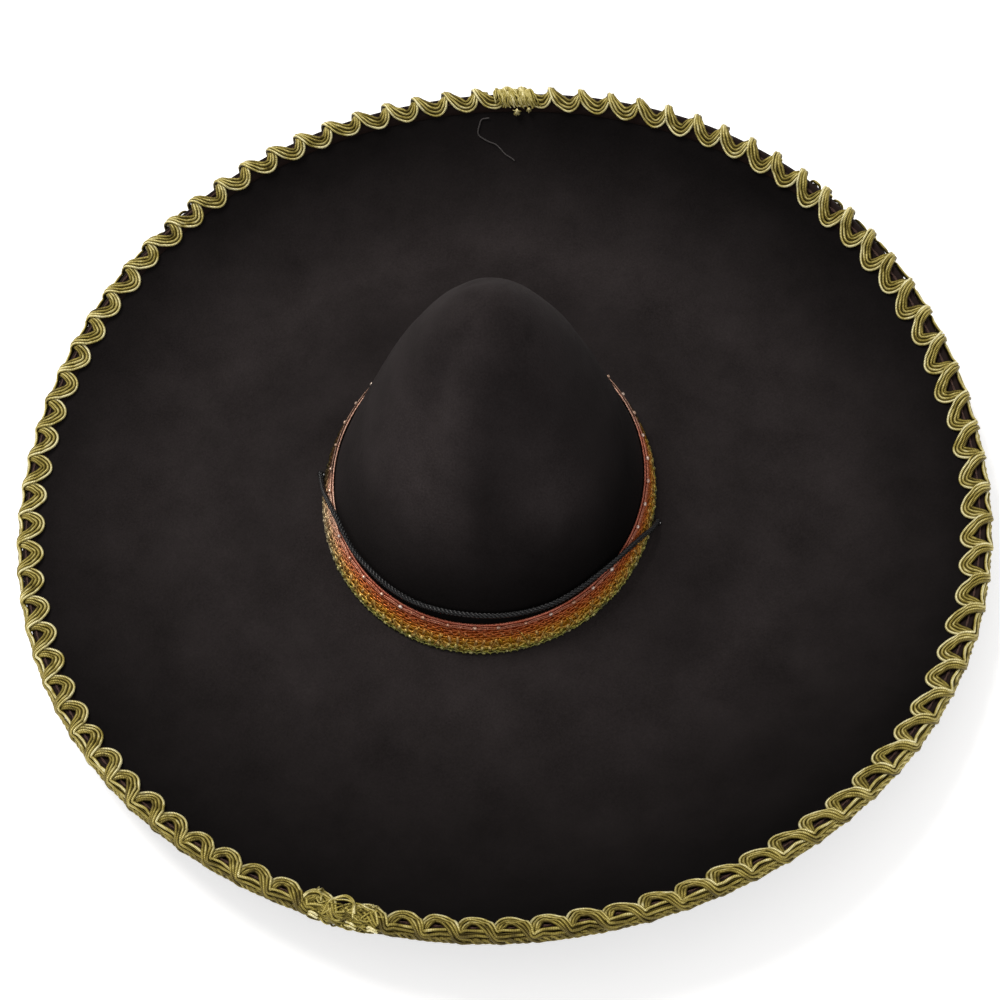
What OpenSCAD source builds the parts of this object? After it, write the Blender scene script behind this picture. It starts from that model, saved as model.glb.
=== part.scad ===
// Wide-brimmed felt sombrero with a pinched crown, a metallic hat band,
// a gimp braid folded over the wired brim edge, and a chin cord.
// The hat stands on a flat ring under the brim. Front is -Y, up is +Z, and the
// origin is the centre of the head opening on the surface the hat stands on.

/* [Crown] */
// Outside width of the crown at its foot
crown_width = 192; // [188:1:196]
// Outside length of the crown at its foot, front to back
crown_length = 205; // [201:1:209]
// Height of the crown above the brim
crown_height = 172; // [160:1:182]
// Thickness of the felt
felt = 2.6; // [2.4:0.1:2.8]
// Depth of the two front pinches
pinch_depth = 9; // [0:1:12]

/* [Brim] */
// Mean radius of the felt brim
brim_radius = 277.5; // [270:0.5:285]
// How far the brim's centre lies in front of the crown's centre
brim_forward = 7; // [3:0.5:10]
// How far the brim's centre lies to the right of the crown's centre
brim_right = 5.5; // [3:0.5:7]
// Height of the brim's underside at the head opening
head_gap = 8; // [8:0.5:10]
// Mean height of the rim's underside
rim_lift = 38.5; // [34:0.5:44]
// How much the front and back rise and the sides droop
rim_saddle = 14.5; // [6:0.5:15]

/* [Edge trim] */
// Number of loops in the braid, all round
braid_loops = 90; // [80:2:100]
// How far the braid's loops reach in over the top of the brim
braid_reach = 13.5; // [11:0.5:15]
// Width of the flat braid strand
braid_width = 4.6; // [3.6:0.2:5]
// Diameter of the brim wire
wire_d = 1.6; // [1.2:0.1:1.7]

/* [Bands] */
// Height of the hat band
band_height = 18.5; // [16:0.5:22]
// Thickness of the hat band
band_thick = 1.6; // [1.2:0.1:1.8]
// Height of the sweatband's upper edge above the brim
sweatband_height = 28; // [24:1:32]
// Thickness of the sweatband
sweatband_thick = 1.2; // [1:0.1:1.4]

/* [Chin cord] */
// Diameter of the chin cord
cord_d = 3; // [2.6:0.1:3.2]
// Diameter of the holes that the cord goes through
hole_d = 4; // [3.8:0.1:4.4]

/* [Hidden] */

// Crown foot: half axes of the oval, and the height of the brim's top there
foot_a = crown_width / 2;
foot_b = crown_length / 2;
foot_z = head_gap + felt;
// Shape of the crown's taper, and how far its tip leans from the foot's centre
taper_k = 0.15;
lean = [8.5, 19];
// Pinches and the shallow valley below them: angle, height above the foot,
// angular spread, height spread, depth
pinches = [
    [-130, 124, 14, 22, pinch_depth],
    [-70, 118, 16, 22, pinch_depth],
    [-100, 90, 15, 14, pinch_depth / 3]
];
// Grid of the crown's mesh
crown_cols = 60;
crown_rows = 19;
// Grid of the brim's mesh, and the share of its width where it lies flat
brim_cols = 90;
flat_from = 0.34;
flat_to = 0.42;
curl_power = 2.2;
brim_shares = [0, 0.06, 0.12, 0.18, 0.24, 0.29, flat_from, flat_to,
    0.52, 0.62, 0.71, 0.8, 0.87, 0.94, 1];
// The brim's collar stands inside the crown
collar_height = 12;
collar_play = 0.3;
collar_in = felt + collar_play;
sweatband_in = collar_in + felt + collar_play;
sweatband_up = 0.2;
// Tape over the sweatband's seam at the back
seam_tape_up = 3.6;
seam_tape_thick = 0.6;
seam_tape_spread = 4;
// Places on the edge trim, as [out from the felt's edge, up from its middle]
binding_gap = 0.25;
binding_thick = 0.4;
binding_reach = 9;
wire_play = 0.2;
wire_place = [-1.6, -felt / 2 - wire_d / 2 - wire_play / 4];
core_d = 1;
core_place = [-2.2, felt / 2 + binding_gap + binding_thick + core_d / 2 + 0.1];
braid_thick = 1.2;
// Angles where the two lengths of braid meet
join_back_angle = 92;
join_front_angle = -102;
join_gap = 1.1;
join_back_width = 4;
join_front_width = 6;
join_steps = 4;
join_reach_top = 1 - braid_reach;
join_reach_low = -8;
// Hat band
band_gap = 0.9;
band_foot = 0.4;
band_join_angle = 100;
band_join_spread = 14;
band_lap_margin = 1;
lap_gap = 0.1;
// Stitches
stitch_len = 3.2;
stitch_d = 0.5;
stitch_gap = 0.1;
lining_gap = 0.25;
crown_stitches = 60;
crown_stitch_up = 6;
sweat_stitches = 72;
sweat_stitch_up = 2.5;
// Chin cord: its two holes, as angles round the crown's foot, and its route
hole_out = 5.6;
hole_left_angle = 176;
hole_right_angle = -8;
cord_rise = 1.9;
knot_d = 7.4;
knot_half = 3.3;
cord_route = [
    [-99, -1, 16.5], [-96.3, -9.5, 21.5], [-92.7, -17.5, 27], [-89, -25, 31.5], [-84, -34, 34.5],
    [-78.5, -44.5, 35.5], [-71.5, -55.5, 36], [-61.5, -66.5, 36.5], [-49.5, -77, 36.5], [-35, -85.5, 36.5],
    [-19.5, -90.5, 37], [-2.5, -93, 37.5], [14.5, -92.5, 37], [30.5, -89, 36.5], [45.5, -82.5, 36],
    [58.5, -73, 35.5], [69.5, -62.5, 35], [79, -52, 33.5], [86.5, -41.5, 29.5], [92.8, -32, 25],
    [98.2, -23, 18.5]
];
// Loose sewing thread that lies on the brim below the back join
thread_d = 0.7;
thread_route = [
    [-19, 254, 40.3], [-21.2, 254, 39.8], [-24.1, 253.5, 39.2], [-25, 251, 37.2],
    [-26, 248.3, 34.9], [-25.6, 246, 32.7], [-22.6, 244.5, 31.2], [-18.6, 243, 29.8],
    [-14.6, 242, 29.1], [-11.1, 239.5, 27.2], [-8.1, 237, 25.3], [-4.6, 235.5, 24.2],
    [-2.1, 234, 23.1]
];

// ---- surfaces -------------------------------------------------------------

// Share of the foot's radius left at height share t of the crown
function taper(t) = sqrt(max(0, (1 - t) * (1 - taper_k * t)));

// Difference of two angles, from -180 to 180
function turn(a) = a - 360 * floor((a + 180) / 360);

// Depth of the pinches at angle phi and height z above the foot
function dent(phi, z, i = 0) = i >= len(pinches) ? 0 :
    pinches[i][4] * exp(-pow(turn(phi - pinches[i][0]) / pinches[i][2], 2) / 2
        - pow((z - pinches[i][1]) / pinches[i][3], 2) / 2) + dent(phi, z, i + 1);

// Point on the crown at angle phi and height share t
function crown_point(phi, t) =
    let (w = taper(t), d = dent(phi, t * crown_height))
    [max(0, foot_a * w - d) * cos(phi) + lean[0] * t,
     max(0, foot_b * w - d) * sin(phi) + lean[1] * t,
     foot_z + t * crown_height];

// Outward unit normal of the crown
function unit(v) = v / norm(v);
function crown_normal(phi, t) =
    let (across = crown_point(phi + 1, t) - crown_point(phi - 1, t),
         along = crown_point(phi, min(1, t + 0.004)) - crown_point(phi, t - 0.004))
    unit(cross(across, along));

// Point at height z that lies a distance inset inside the plain crown wall
function wall_point(phi, z, inset) =
    let (t = (z - foot_z) / crown_height, w = taper(t))
    [(foot_a * w - inset) * cos(phi) + lean[0] * t,
     (foot_b * w - inset) * sin(phi) + lean[1] * t, z];

// Outline of the brim and height of its underside at the rim
function rim_radius(phi) = brim_radius + 5 * cos(2 * phi + 37);
function rim_height(phi) = rim_lift + 9 * cos(phi) - rim_saddle * cos(2 * phi)
    - 2.5 * cos(3 * phi) - 4 * cos(4 * phi);
function rim_point(phi) = [brim_right, -brim_forward] + rim_radius(phi) * [cos(phi), sin(phi)];
function foot_point(phi) = [foot_a * cos(phi), foot_b * sin(phi)];

// Height of the brim's underside at share s of its width
function underside(phi, s) =
    s < flat_from ? head_gap * (1 + cos(180 * s / flat_from)) / 2 :
    s <= flat_to ? 0 :
    rim_height(phi) * pow((s - flat_to) / (1 - flat_to), curl_power);

// Slope angle of the brim at share s
function brim_slope(phi, s) =
    let (h = 0.002, lo = max(0, s - h), hi = min(1, s + h))
    atan((underside(phi, hi) - underside(phi, lo)) / ((hi - lo) * norm(rim_point(phi) - foot_point(phi))));

// Point at share s, raised by up along the felt's own normal
function brim_point(phi, s, up) =
    let (p = foot_point(phi) * (1 - s) + rim_point(phi) * s, a = brim_slope(phi, s))
    [p[0] - up * sin(a) * cos(phi), p[1] - up * sin(a) * sin(phi), underside(phi, s) + up * cos(a)];

// Point near the rim, out along the felt and up from its middle
function edge_point(phi, place) =
    let (a = brim_slope(phi, 1),
         base = brim_point(phi, 1, felt / 2),
         r = place[0] * cos(a) - place[1] * sin(a),
         z = place[0] * sin(a) + place[1] * cos(a))
    base + [r * cos(phi), r * sin(phi), z];

// The same for a place far in from the rim, which follows the felt's curve
function trim_point(phi, place) =
    let (width = norm(rim_point(phi) - foot_point(phi)), s = 1 + min(0, place[0]) / width)
    place[0] > 0 ? edge_point(phi, place) : brim_point(phi, s, felt / 2 + place[1]);

// ---- solids from rows of points --------------------------------------------

function flat_list(rows) = [for (row = rows) for (p = row) p];

// Closed ring made of cross-sections that all have the same number of points
module ring_solid(sections) {
    n = len(sections);
    m = len(sections[0]);
    faces = [for (i = [0 : n - 1]) for (j = [0 : m - 1])
        let (a = i * m + j, b = i * m + (j + 1) % m,
             c = ((i + 1) % n) * m + (j + 1) % m, d = ((i + 1) % n) * m + j)
        each [[a, b, c], [a, c, d]]];
    polyhedron(points = flat_list(sections), faces = faces, convexity = 10);
}

// Capped tube or strip made of cross-sections with an even number of points,
// where point j lies opposite the j-th point from the end
module strip_solid(sections) {
    n = len(sections);
    m = len(sections[0]);
    sides = [for (i = [0 : n - 2]) for (j = [0 : m - 1])
        let (a = i * m + j, b = i * m + (j + 1) % m,
             c = (i + 1) * m + (j + 1) % m, d = (i + 1) * m + j)
        each [[a, b, c], [a, c, d]]];
    end = (n - 1) * m;
    caps = [for (j = [0 : m / 2 - 2])
        let (a = j, b = j + 1, c = m - 2 - j, d = m - 1 - j)
        each [[b, a, d], [c, b, d], [end + a, end + b, end + d], [end + b, end + c, end + d]]];
    polyhedron(points = flat_list(sections), faces = concat(sides, caps), convexity = 10);
}

// Round section of a tube at p, square to direction t, with a steady side
function round_section(p, t, d, sides, side) =
    let (u = unit(side - t * (side * t)), v = cross(t, u))
    [for (k = [0 : sides - 1]) p + (u * cos(360 * k / sides) + v * sin(360 * k / sides)) * d / 2];

// Direction of a route at its point i
function route_dir(route, i) =
    unit(route[min(len(route) - 1, i + 1)] - route[max(0, i - 1)]);

// Round tube swept along a route
module tube(route, d, sides = 8) {
    strip_solid([for (i = [0 : len(route) - 1])
        round_section(route[i], route_dir(route, i), d, sides, [0, 0, 1])]);
}

// Route with three more points between each two, on a smooth curve
function spline_mid(a, b, c, d, u) =
    (b * 2 + (c - a) * u + (a * 2 - b * 5 + c * 4 - d) * pow(u, 2)
        + (b * 3 - a - c * 3 + d) * pow(u, 3)) / 2;
function smooth_route(r, parts) = concat([for (i = [0 : len(r) - 2]) for (k = [0 : parts - 1])
    spline_mid(r[max(0, i - 1)], r[i], r[i + 1], r[min(len(r) - 1, i + 2)], k / parts)],
    [r[len(r) - 1]]);

// Wall that follows the crown between two insets, closed all round
module crown_wall(z_low, z_high, inset_out, inset_in, cols = 60) {
    zs = [z_low, (z_low + z_high) / 2, z_high];
    ring_solid([for (i = [0 : cols - 1]) let (phi = 360 * i / cols)
        concat([for (z = zs) wall_point(phi, z, inset_out)],
            [for (k = [2 : -1 : 0]) wall_point(phi, zs[k], inset_in)])]);
}

// The same over an arc only
module crown_wall_arc(z_low, z_high, inset_out, inset_in, from, to, cols) {
    zs = [z_low, z_high];
    strip_solid([for (i = [0 : cols]) let (phi = from + (to - from) * i / cols)
        concat([for (z = zs) wall_point(phi, z, inset_out)],
            [for (k = [1 : -1 : 0]) wall_point(phi, zs[k], inset_in)])]);
}

// Row of stitches lying on the crown wall
module wall_stitches(count, z, inset) {
    for (i = [0 : count - 1]) {
        phi = 360 * (i + 0.5) / count;
        p = wall_point(phi, z, inset);
        dir = wall_point(phi + 0.5, z, inset) - wall_point(phi - 0.5, z, inset);
        translate(p) rotate([0, 0, atan2(dir[1], dir[0])])
            cube([stitch_len, stitch_d, stitch_d], center = true);
    }
}

// ---- braid -----------------------------------------------------------------

// The strand's places in one loop: share of the loop, [out, up], and the
// direction in which its flat side faces
braid_steps = [
    [0.04, [-braid_reach, 2.9], [0, 1]],
    [0.2, [-braid_reach, 2.9], [0, 1]],
    [0.34, [1.9, 4.1], [0.7, 0.7]],
    [0.4, [1.9, -5.3], [0.7, -0.7]],
    [0.54, [-9.5, -3.3], [0, -1]],
    [0.7, [-9.5, -3.3], [0, -1]],
    [0.84, [1.9, -5.3], [0.7, -0.7]],
    [0.9, [1.9, 4.1], [0.7, 0.7]]
];

function braid_path(from, to) =
    let (pitch = 360 / braid_loops, count = floor((to - from) / pitch))
    [for (i = [0 : count - 1]) for (s = braid_steps)
        let (phi = from + (i + s[0]) * pitch)
        [trim_point(phi, s[1]),
         unit(trim_point(phi, s[1] + s[2]) - trim_point(phi, s[1]))]];

// One length of braid between two angles
module braid(from, to) {
    path = braid_path(from, to);
    n = len(path);
    strip_solid([for (i = [0 : n - 1])
        let (t = unit(path[min(n - 1, i + 1)][0] - path[max(0, i - 1)][0]),
             side = unit(cross(path[i][1], t)),
             face = cross(t, side),
             p = path[i][0],
             w = side * braid_width / 4,
             h = face * braid_thick / 2)
        [p + w + h, p - w + h, p - w - h, p + w - h]]);
}

// Ends of the braid lapped over each other, folded over the edge
module braid_join(angle, width) {
    outer = [[join_reach_top, 4.8], [-5, 5.6], [2.4, 6.6], [5, 5], [5, -6.3], [2.4, -8.1],
        [join_reach_low, -5.6]];
    inner = [[join_reach_low, -4.4], [1.8, -6.9], [3.8, -5.8], [3.8, 4.4], [1.8, 5.5],
        [-5, 4.5], [join_reach_top, 3.7]];
    strip_solid([for (i = [0 : join_steps])
        let (phi = angle + width * (i / join_steps - 0.5))
        [for (q = concat(outer, inner)) trim_point(phi, q)]]);
}

// ---- sub-parts -------------------------------------------------------------

module crown_felt() {
    cols = crown_cols;
    rows = crown_rows;
    phis = [for (i = [0 : cols - 1]) 360 * i / cols];
    shares = [for (k = [0 : rows - 1]) 1 - pow(1 - k / rows, 2)];
    outer = [for (t = shares) for (phi = phis) crown_point(phi, t)];
    inner = [for (t = shares) for (phi = phis)
        let (p = crown_point(phi, t), q = p - crown_normal(phi, t) * felt)
        [q[0], q[1], t == 0 ? foot_z : q[2]]];
    tip = crown_point(0, 1);
    poles = [tip, tip - [0, 0, felt]];
    shell = cols * rows;
    pole = 2 * shell;
    wall_faces = [for (k = [0 : rows - 2]) for (i = [0 : cols - 1])
        let (j = (i + 1) % cols, a = k * cols + i, b = k * cols + j,
             c = (k + 1) * cols + j, d = (k + 1) * cols + i)
        each [[a, c, b], [a, d, c],
            [shell + a, shell + b, shell + c], [shell + a, shell + c, shell + d]]];
    tip_faces = [for (i = [0 : cols - 1])
        let (j = (i + 1) % cols, a = (rows - 1) * cols + i, b = (rows - 1) * cols + j)
        each [[a, pole, b], [shell + a, shell + b, pole + 1]]];
    foot_faces = [for (i = [0 : cols - 1]) let (j = (i + 1) % cols)
        each [[i, j, shell + j], [i, shell + j, shell + i]]];
    color("#26242a") polyhedron(points = concat(outer, inner, poles),
        faces = concat(wall_faces, tip_faces, foot_faces), convexity = 10);
}

module brim_felt() {
    top_collar = foot_z + collar_height;
    last = len(brim_shares) - 1;
    color("#2a282e") difference() {
        ring_solid([for (i = [0 : brim_cols - 1]) let (phi = 360 * i / brim_cols)
            concat(
                [wall_point(phi, top_collar, collar_in), wall_point(phi, foot_z, collar_in)],
                [for (s = brim_shares) brim_point(phi, s, felt)],
                [for (k = [last : -1 : 0]) brim_point(phi, brim_shares[k], 0)],
                [wall_point(phi, head_gap, collar_in + felt),
                 wall_point(phi, top_collar, collar_in + felt)])]);
        for (angle = [hole_left_angle, hole_right_angle])
            translate(hole_place(angle)) cylinder(h = 4 * felt, d = hole_d, center = true, $fn = 32);
    }
}

function hole_place(angle) =
    [(foot_a + hole_out) * cos(angle), (foot_b + hole_out) * sin(angle), head_gap + felt / 2];

module brim_wire() {
    color("#9a9ca0") ring_solid([for (i = [0 : brim_cols - 1]) let (phi = 360 * i / brim_cols)
        [for (k = [0 : 5]) trim_point(phi, wire_place + [cos(60 * k), sin(60 * k)] * wire_d / 2)]]);
}

module edge_binding() {
    t = binding_thick;
    edge = binding_gap;
    top = felt / 2 + binding_gap;
    low = -top;
    below_wire = -felt / 2 - wire_d - wire_play;
    inside = [[-binding_reach, low], [-4.2, low], [-2.9, below_wire], [-0.4, below_wire],
        [edge, -1], [edge, top], [-binding_reach, top]];
    outside = [[-binding_reach, top + t], [edge, top + t], [edge + t, top], [edge + t, -1],
        [-0.2, below_wire - t], [-3.1, below_wire - t], [-4.6, low - t],
        [-binding_reach, low - t]];
    color("#1c1b1f") ring_solid([for (i = [0 : brim_cols - 1]) let (phi = 360 * i / brim_cols)
        [for (q = concat(outside, inside)) trim_point(phi, q)]]);
}

module edge_braid_left() {
    color("#a89a48") braid(join_back_angle + join_gap, join_front_angle + 360 - join_gap);
}

module edge_braid_right() {
    color("#a89a48") braid(join_front_angle + join_gap, join_back_angle - join_gap);
}

module edge_core_cord() {
    color("#b9ab86") ring_solid([for (i = [0 : brim_cols - 1]) let (phi = 360 * i / brim_cols)
        [for (k = [0 : 3]) trim_point(phi, core_place + [cos(90 * k), sin(90 * k)] * core_d / 2)]]);
}

module braid_join_back() {
    color("#c0b25c") braid_join(join_back_angle, join_back_width);
}

module braid_join_front() {
    color("#c0b25c") braid_join(join_front_angle, join_front_width);
}

module hatband() {
    low = foot_z + band_foot;
    color("#c08a3c") crown_wall(low, low + band_height, -band_gap - band_thick, -band_gap);
}

module hatband_join() {
    low = foot_z + band_foot + band_lap_margin;
    high = foot_z + band_foot + band_height - band_lap_margin;
    face = -band_gap - band_thick - lap_gap;
    color("#c9955a") crown_wall_arc(low, high, face - band_thick, face,
        band_join_angle - band_join_spread / 2, band_join_angle + band_join_spread / 2, 5);
}

module crown_stitching() {
    color("#151416") wall_stitches(crown_stitches, foot_z + crown_stitch_up, -stitch_d / 2 - stitch_gap);
}

module sweatband() {
    color("#121113") crown_wall(head_gap + sweatband_up, foot_z + sweatband_height,
        sweatband_in, sweatband_in + sweatband_thick);
}

module sweatband_seam_tape() {
    inset = sweatband_in + sweatband_thick + lining_gap;
    color("#1e1d20") crown_wall_arc(head_gap + seam_tape_up, foot_z + sweatband_height - 1,
        inset, inset + seam_tape_thick, 90 - seam_tape_spread, 90 + seam_tape_spread, 3);
}

module sweatband_stitching() {
    color("#3a383c") wall_stitches(sweat_stitches, head_gap + sweat_stitch_up,
        sweatband_in + sweatband_thick + stitch_d / 2 + lining_gap);
}

// Where the cord turns out of its hole, just above the brim
function pivot(angle) = [hole_place(angle)[0], hole_place(angle)[1], foot_z + cord_rise];

module chin_cord() {
    route = concat([pivot(hole_left_angle)], cord_route, [pivot(hole_right_angle)]);
    color("#0d0d0f") tube(smooth_route(route, 3), cord_d);
}

// Stub of the cord in its hole, with the knot under the brim
module cord_knot(angle) {
    p = hole_place(angle);
    stub = cord_d / 2;
    top = foot_z - 0.1;
    middle = head_gap / 2 - 0.3;
    translate([p[0], p[1], 0]) rotate_extrude($fn = 48)
        polygon(concat([[0, top], [stub, top], [stub, head_gap - 0.9]],
            [for (a = [40 : -20 : -80]) [knot_d / 2 * cos(a), middle + knot_half * sin(a)]],
            [[0, middle - knot_half]]));
}

module cord_knot_left() {
    color("#0d0d0f") cord_knot(hole_left_angle);
}

module cord_knot_right() {
    color("#0d0d0f") cord_knot(hole_right_angle);
}

module loose_thread() {
    color("#8d897c") tube(thread_route, thread_d);
}

crown_felt();
brim_felt();
brim_wire();
edge_binding();
edge_braid_left();
edge_braid_right();
edge_core_cord();
braid_join_back();
braid_join_front();
hatband();
hatband_join();
crown_stitching();
sweatband();
sweatband_seam_tape();
sweatband_stitching();
chin_cord();
cord_knot_left();
cord_knot_right();
loose_thread();
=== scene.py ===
import math

import bmesh
import bpy
import numpy as np
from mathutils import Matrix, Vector


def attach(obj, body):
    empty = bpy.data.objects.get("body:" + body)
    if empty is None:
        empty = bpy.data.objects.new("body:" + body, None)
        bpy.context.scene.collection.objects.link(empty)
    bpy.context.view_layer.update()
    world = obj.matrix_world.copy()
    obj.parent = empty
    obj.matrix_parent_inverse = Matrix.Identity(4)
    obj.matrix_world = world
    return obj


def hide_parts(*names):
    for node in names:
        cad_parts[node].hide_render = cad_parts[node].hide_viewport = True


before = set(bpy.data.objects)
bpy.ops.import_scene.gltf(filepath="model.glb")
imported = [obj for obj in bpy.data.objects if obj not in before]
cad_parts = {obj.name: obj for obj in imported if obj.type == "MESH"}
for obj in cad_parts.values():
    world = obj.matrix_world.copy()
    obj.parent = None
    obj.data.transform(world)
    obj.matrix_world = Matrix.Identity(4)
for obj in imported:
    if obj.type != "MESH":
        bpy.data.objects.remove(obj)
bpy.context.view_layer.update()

# All shapes are worked out in millimetres, in the part's frame, and turned into metres
# when a mesh is made. Front is -Y, up is +Z, angles run from +X towards +Y.
MM = 0.001

# ---- the hat's shape, as in the CAD part -------------------------------------

FOOT_A, FOOT_B = 96.0, 102.5  # half sizes of the crown's foot
CROWN_H = 172.0
FELT = 2.6
GAP = 8.0  # height of the brim's underside at the crown
FOOT_Z = GAP + FELT
LEAN = (8.5, 19.0)  # where the crown's top is, from above its foot's middle
# Each pinch: angle, height, half width in degrees, half height, depth
PINCHES = [(-130, 124, 14, 22, 9.0), (-70, 118, 16, 22, 9.0), (-100, 90, 15, 14, 3.0)]
RIM_RADIUS = 277.5
CENTRE = (5.5, -7.0)  # middle of the rim
FLAT_FROM, FLAT_TO = 0.34, 0.42  # shares of the brim's width between which it lies flat
COLLAR_IN = FELT + 0.3
COLLAR_H = 12.0
SWEAT_IN = COLLAR_IN + FELT + 0.3
SWEAT_THICK = 1.2
SWEAT_TOP = FOOT_Z + 28
LOOPS = 90  # of braid round the edge
PITCH = 360 / LOOPS
JOIN_BACK, JOIN_FRONT = 92.0, 258.0
HOLE_OUT = 5.6  # from the crown's foot to the middle of a cord hole
HOLE_ANGLES = {"left": 176.0, "right": -8.0}
BAND_LOW, BAND_HIGH = FOOT_Z + 0.4, FOOT_Z + 18.9


def cosd(a):
    return np.cos(np.radians(a))


def sind(a):
    return np.sin(np.radians(a))


def turn(a):
    """The angle brought to between -180 and 180 degrees."""
    return a - 360 * np.floor((a + 180) / 360)


def at_front(phi):
    return np.maximum(0, -sind(phi))


def at_back(phi):
    return np.maximum(0, sind(phi))


def around(count):
    """Angles in even steps round the hat."""
    return 360 * np.arange(count) / count


def taper(t):
    """The crown's width at share t of its height, as a share of its foot's."""
    return np.sqrt(np.maximum(0, (1 - t) * (1 - 0.15 * t)))


def dent(phi, z):
    """How deep the pinches push the crown in."""
    total = 0
    for at, height, wide, tall, depth in PINCHES:
        total = total + depth * np.exp(-((turn(phi - at) / wide) ** 2) / 2 - ((z - height) / tall) ** 2 / 2)
    return total


def crown_point(phi, t, proud=0.0):
    """Point on the crown's outside at share t of its height, with the pinches."""
    w = taper(t)
    d = dent(phi, t * CROWN_H) - proud
    x = np.maximum(0, FOOT_A * w - d) * cosd(phi) + LEAN[0] * t
    y = np.maximum(0, FOOT_B * w - d) * sind(phi) + LEAN[1] * t
    return np.stack(np.broadcast_arrays(x, y, FOOT_Z + t * CROWN_H), -1)


def wall_point(phi, z, inset):
    """Point inset from the crown's outside near its foot, where the pinches don't reach."""
    t = (z - FOOT_Z) / CROWN_H
    w = taper(t)
    x = (FOOT_A * w - inset) * cosd(phi) + LEAN[0] * t
    y = (FOOT_B * w - inset) * sind(phi) + LEAN[1] * t
    return np.stack(np.broadcast_arrays(x, y, z), -1)


def rim_radius(phi):
    return RIM_RADIUS + 5 * cosd(2 * phi + 37)


def rim_height(phi):
    return 38.5 + 9 * cosd(phi) - 14.5 * cosd(2 * phi) - 2.5 * cosd(3 * phi) - 4 * cosd(4 * phi)


def rim_point(phi):
    r = rim_radius(phi)
    return np.stack([CENTRE[0] + r * cosd(phi), CENTRE[1] + r * sind(phi)], -1)


def foot_point(phi):
    return np.stack([FOOT_A * cosd(phi), FOOT_B * sind(phi)], -1)


def underside(phi, s):
    """Height of the brim's underside at share s of the way from the foot to the rim."""
    phi, s = np.broadcast_arrays(phi, s)
    inner = GAP * (1 + cosd(180 * np.minimum(s, FLAT_FROM) / FLAT_FROM)) / 2
    u = np.maximum(0, (s - FLAT_TO) / (1 - FLAT_TO))
    return np.where(s < FLAT_FROM, inner, rim_height(phi) * u ** 2.2)


def brim_width(phi):
    return np.linalg.norm(rim_point(phi) - foot_point(phi), axis=-1)


def brim_slope(phi, s):
    """How steep the brim is, in degrees, outwards."""
    h = 0.002
    lo, hi = np.maximum(0, s - h), np.minimum(1, s + h)
    rise = underside(phi, hi) - underside(phi, lo)
    return np.degrees(np.arctan(rise / ((hi - lo) * brim_width(phi))))


def brim_point(phi, s, up):
    """Point of the brim at share s of its width, up square to it from its underside."""
    phi, s, up = np.broadcast_arrays(np.asarray(phi, float), np.asarray(s, float), np.asarray(up, float))
    p = foot_point(phi) * (1 - s)[..., None] + rim_point(phi) * s[..., None]
    a = brim_slope(phi, s)
    x = p[..., 0] - up * sind(a) * cosd(phi)
    y = p[..., 1] - up * sind(a) * sind(phi)
    return np.stack([x, y, underside(phi, s) + up * cosd(a)], -1)


def trim_point(phi, out, up):
    """Point near the rim: out from the felt's edge, up from the middle of its thickness."""
    phi, out, up = np.broadcast_arrays(np.asarray(phi, float), np.asarray(out, float), np.asarray(up, float))
    s = 1 + np.minimum(0, out) / brim_width(phi)
    base = brim_point(phi, s, FELT / 2 + up)
    a = brim_slope(phi, 1.0)
    over = np.maximum(0, out)
    base[..., 0] += over * cosd(a) * cosd(phi)
    base[..., 1] += over * cosd(a) * sind(phi)
    base[..., 2] += over * sind(a)
    return base


# ---- meshes --------------------------------------------------------------------

def add_object(name, data):
    piece = bpy.data.objects.new(name, data)
    bpy.context.scene.collection.objects.link(piece)
    return piece


def make_object(name, shape, material, slot, *nodes, body="hat"):
    """Smooth piece from (points in mm, faces) or (points, faces, UVs), for the CAD nodes it stands for."""
    points, faces, *uvs = shape
    mesh = bpy.data.meshes.new(name)
    mesh.from_pydata((np.asarray(points) * MM).tolist(), [], faces)
    for uv in uvs:
        layer = mesh.uv_layers.new(name="UVMap")
        layer.data.foreach_set("uv", np.asarray(uv, np.float32).ravel())
    mesh.polygons.foreach_set("use_smooth", [True] * len(mesh.polygons))
    mesh.update()
    mesh.materials.append(material)
    piece = add_object(name, mesh)
    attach(piece, body)
    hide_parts(*nodes)
    return piece


def add_attribute(piece, name, values):
    """One number for each vertex, for the materials to read."""
    attribute = piece.data.attributes.new(name, "FLOAT", "POINT")
    attribute.data.foreach_set("value", np.asarray(values, np.float32).ravel())


def grid_faces(rows, cols, start=0, wrap_rows=False, wrap_cols=True, flip=False):
    """Quads of a grid of points whose columns go round."""
    i = np.arange(rows if wrap_rows else rows - 1)
    j = np.arange(cols if wrap_cols else cols - 1)
    i, j = np.meshgrid(i, j, indexing="ij")
    ni, nj = (i + 1) % rows, (j + 1) % cols
    quads = np.stack([i * cols + j, i * cols + nj, ni * cols + nj, ni * cols + j], -1).reshape(-1, 4) + start
    return (quads[:, ::-1] if flip else quads).tolist()


def strip(first, second, count):
    """Quads between two closed rows of count points, given by the numbers of their first points."""
    j = np.arange(count)
    k = (j + 1) % count
    return np.stack([first + j, first + k, second + k, second + j], -1).tolist()


def fan(first, tip, count, flip=False):
    """Triangles between a closed row of count points and one tip."""
    j = np.arange(count)
    faces = np.stack([first + j, first + (j + 1) % count, np.full(count, tip)], -1)
    return (faces[:, ::-1] if flip else faces).tolist()


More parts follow.
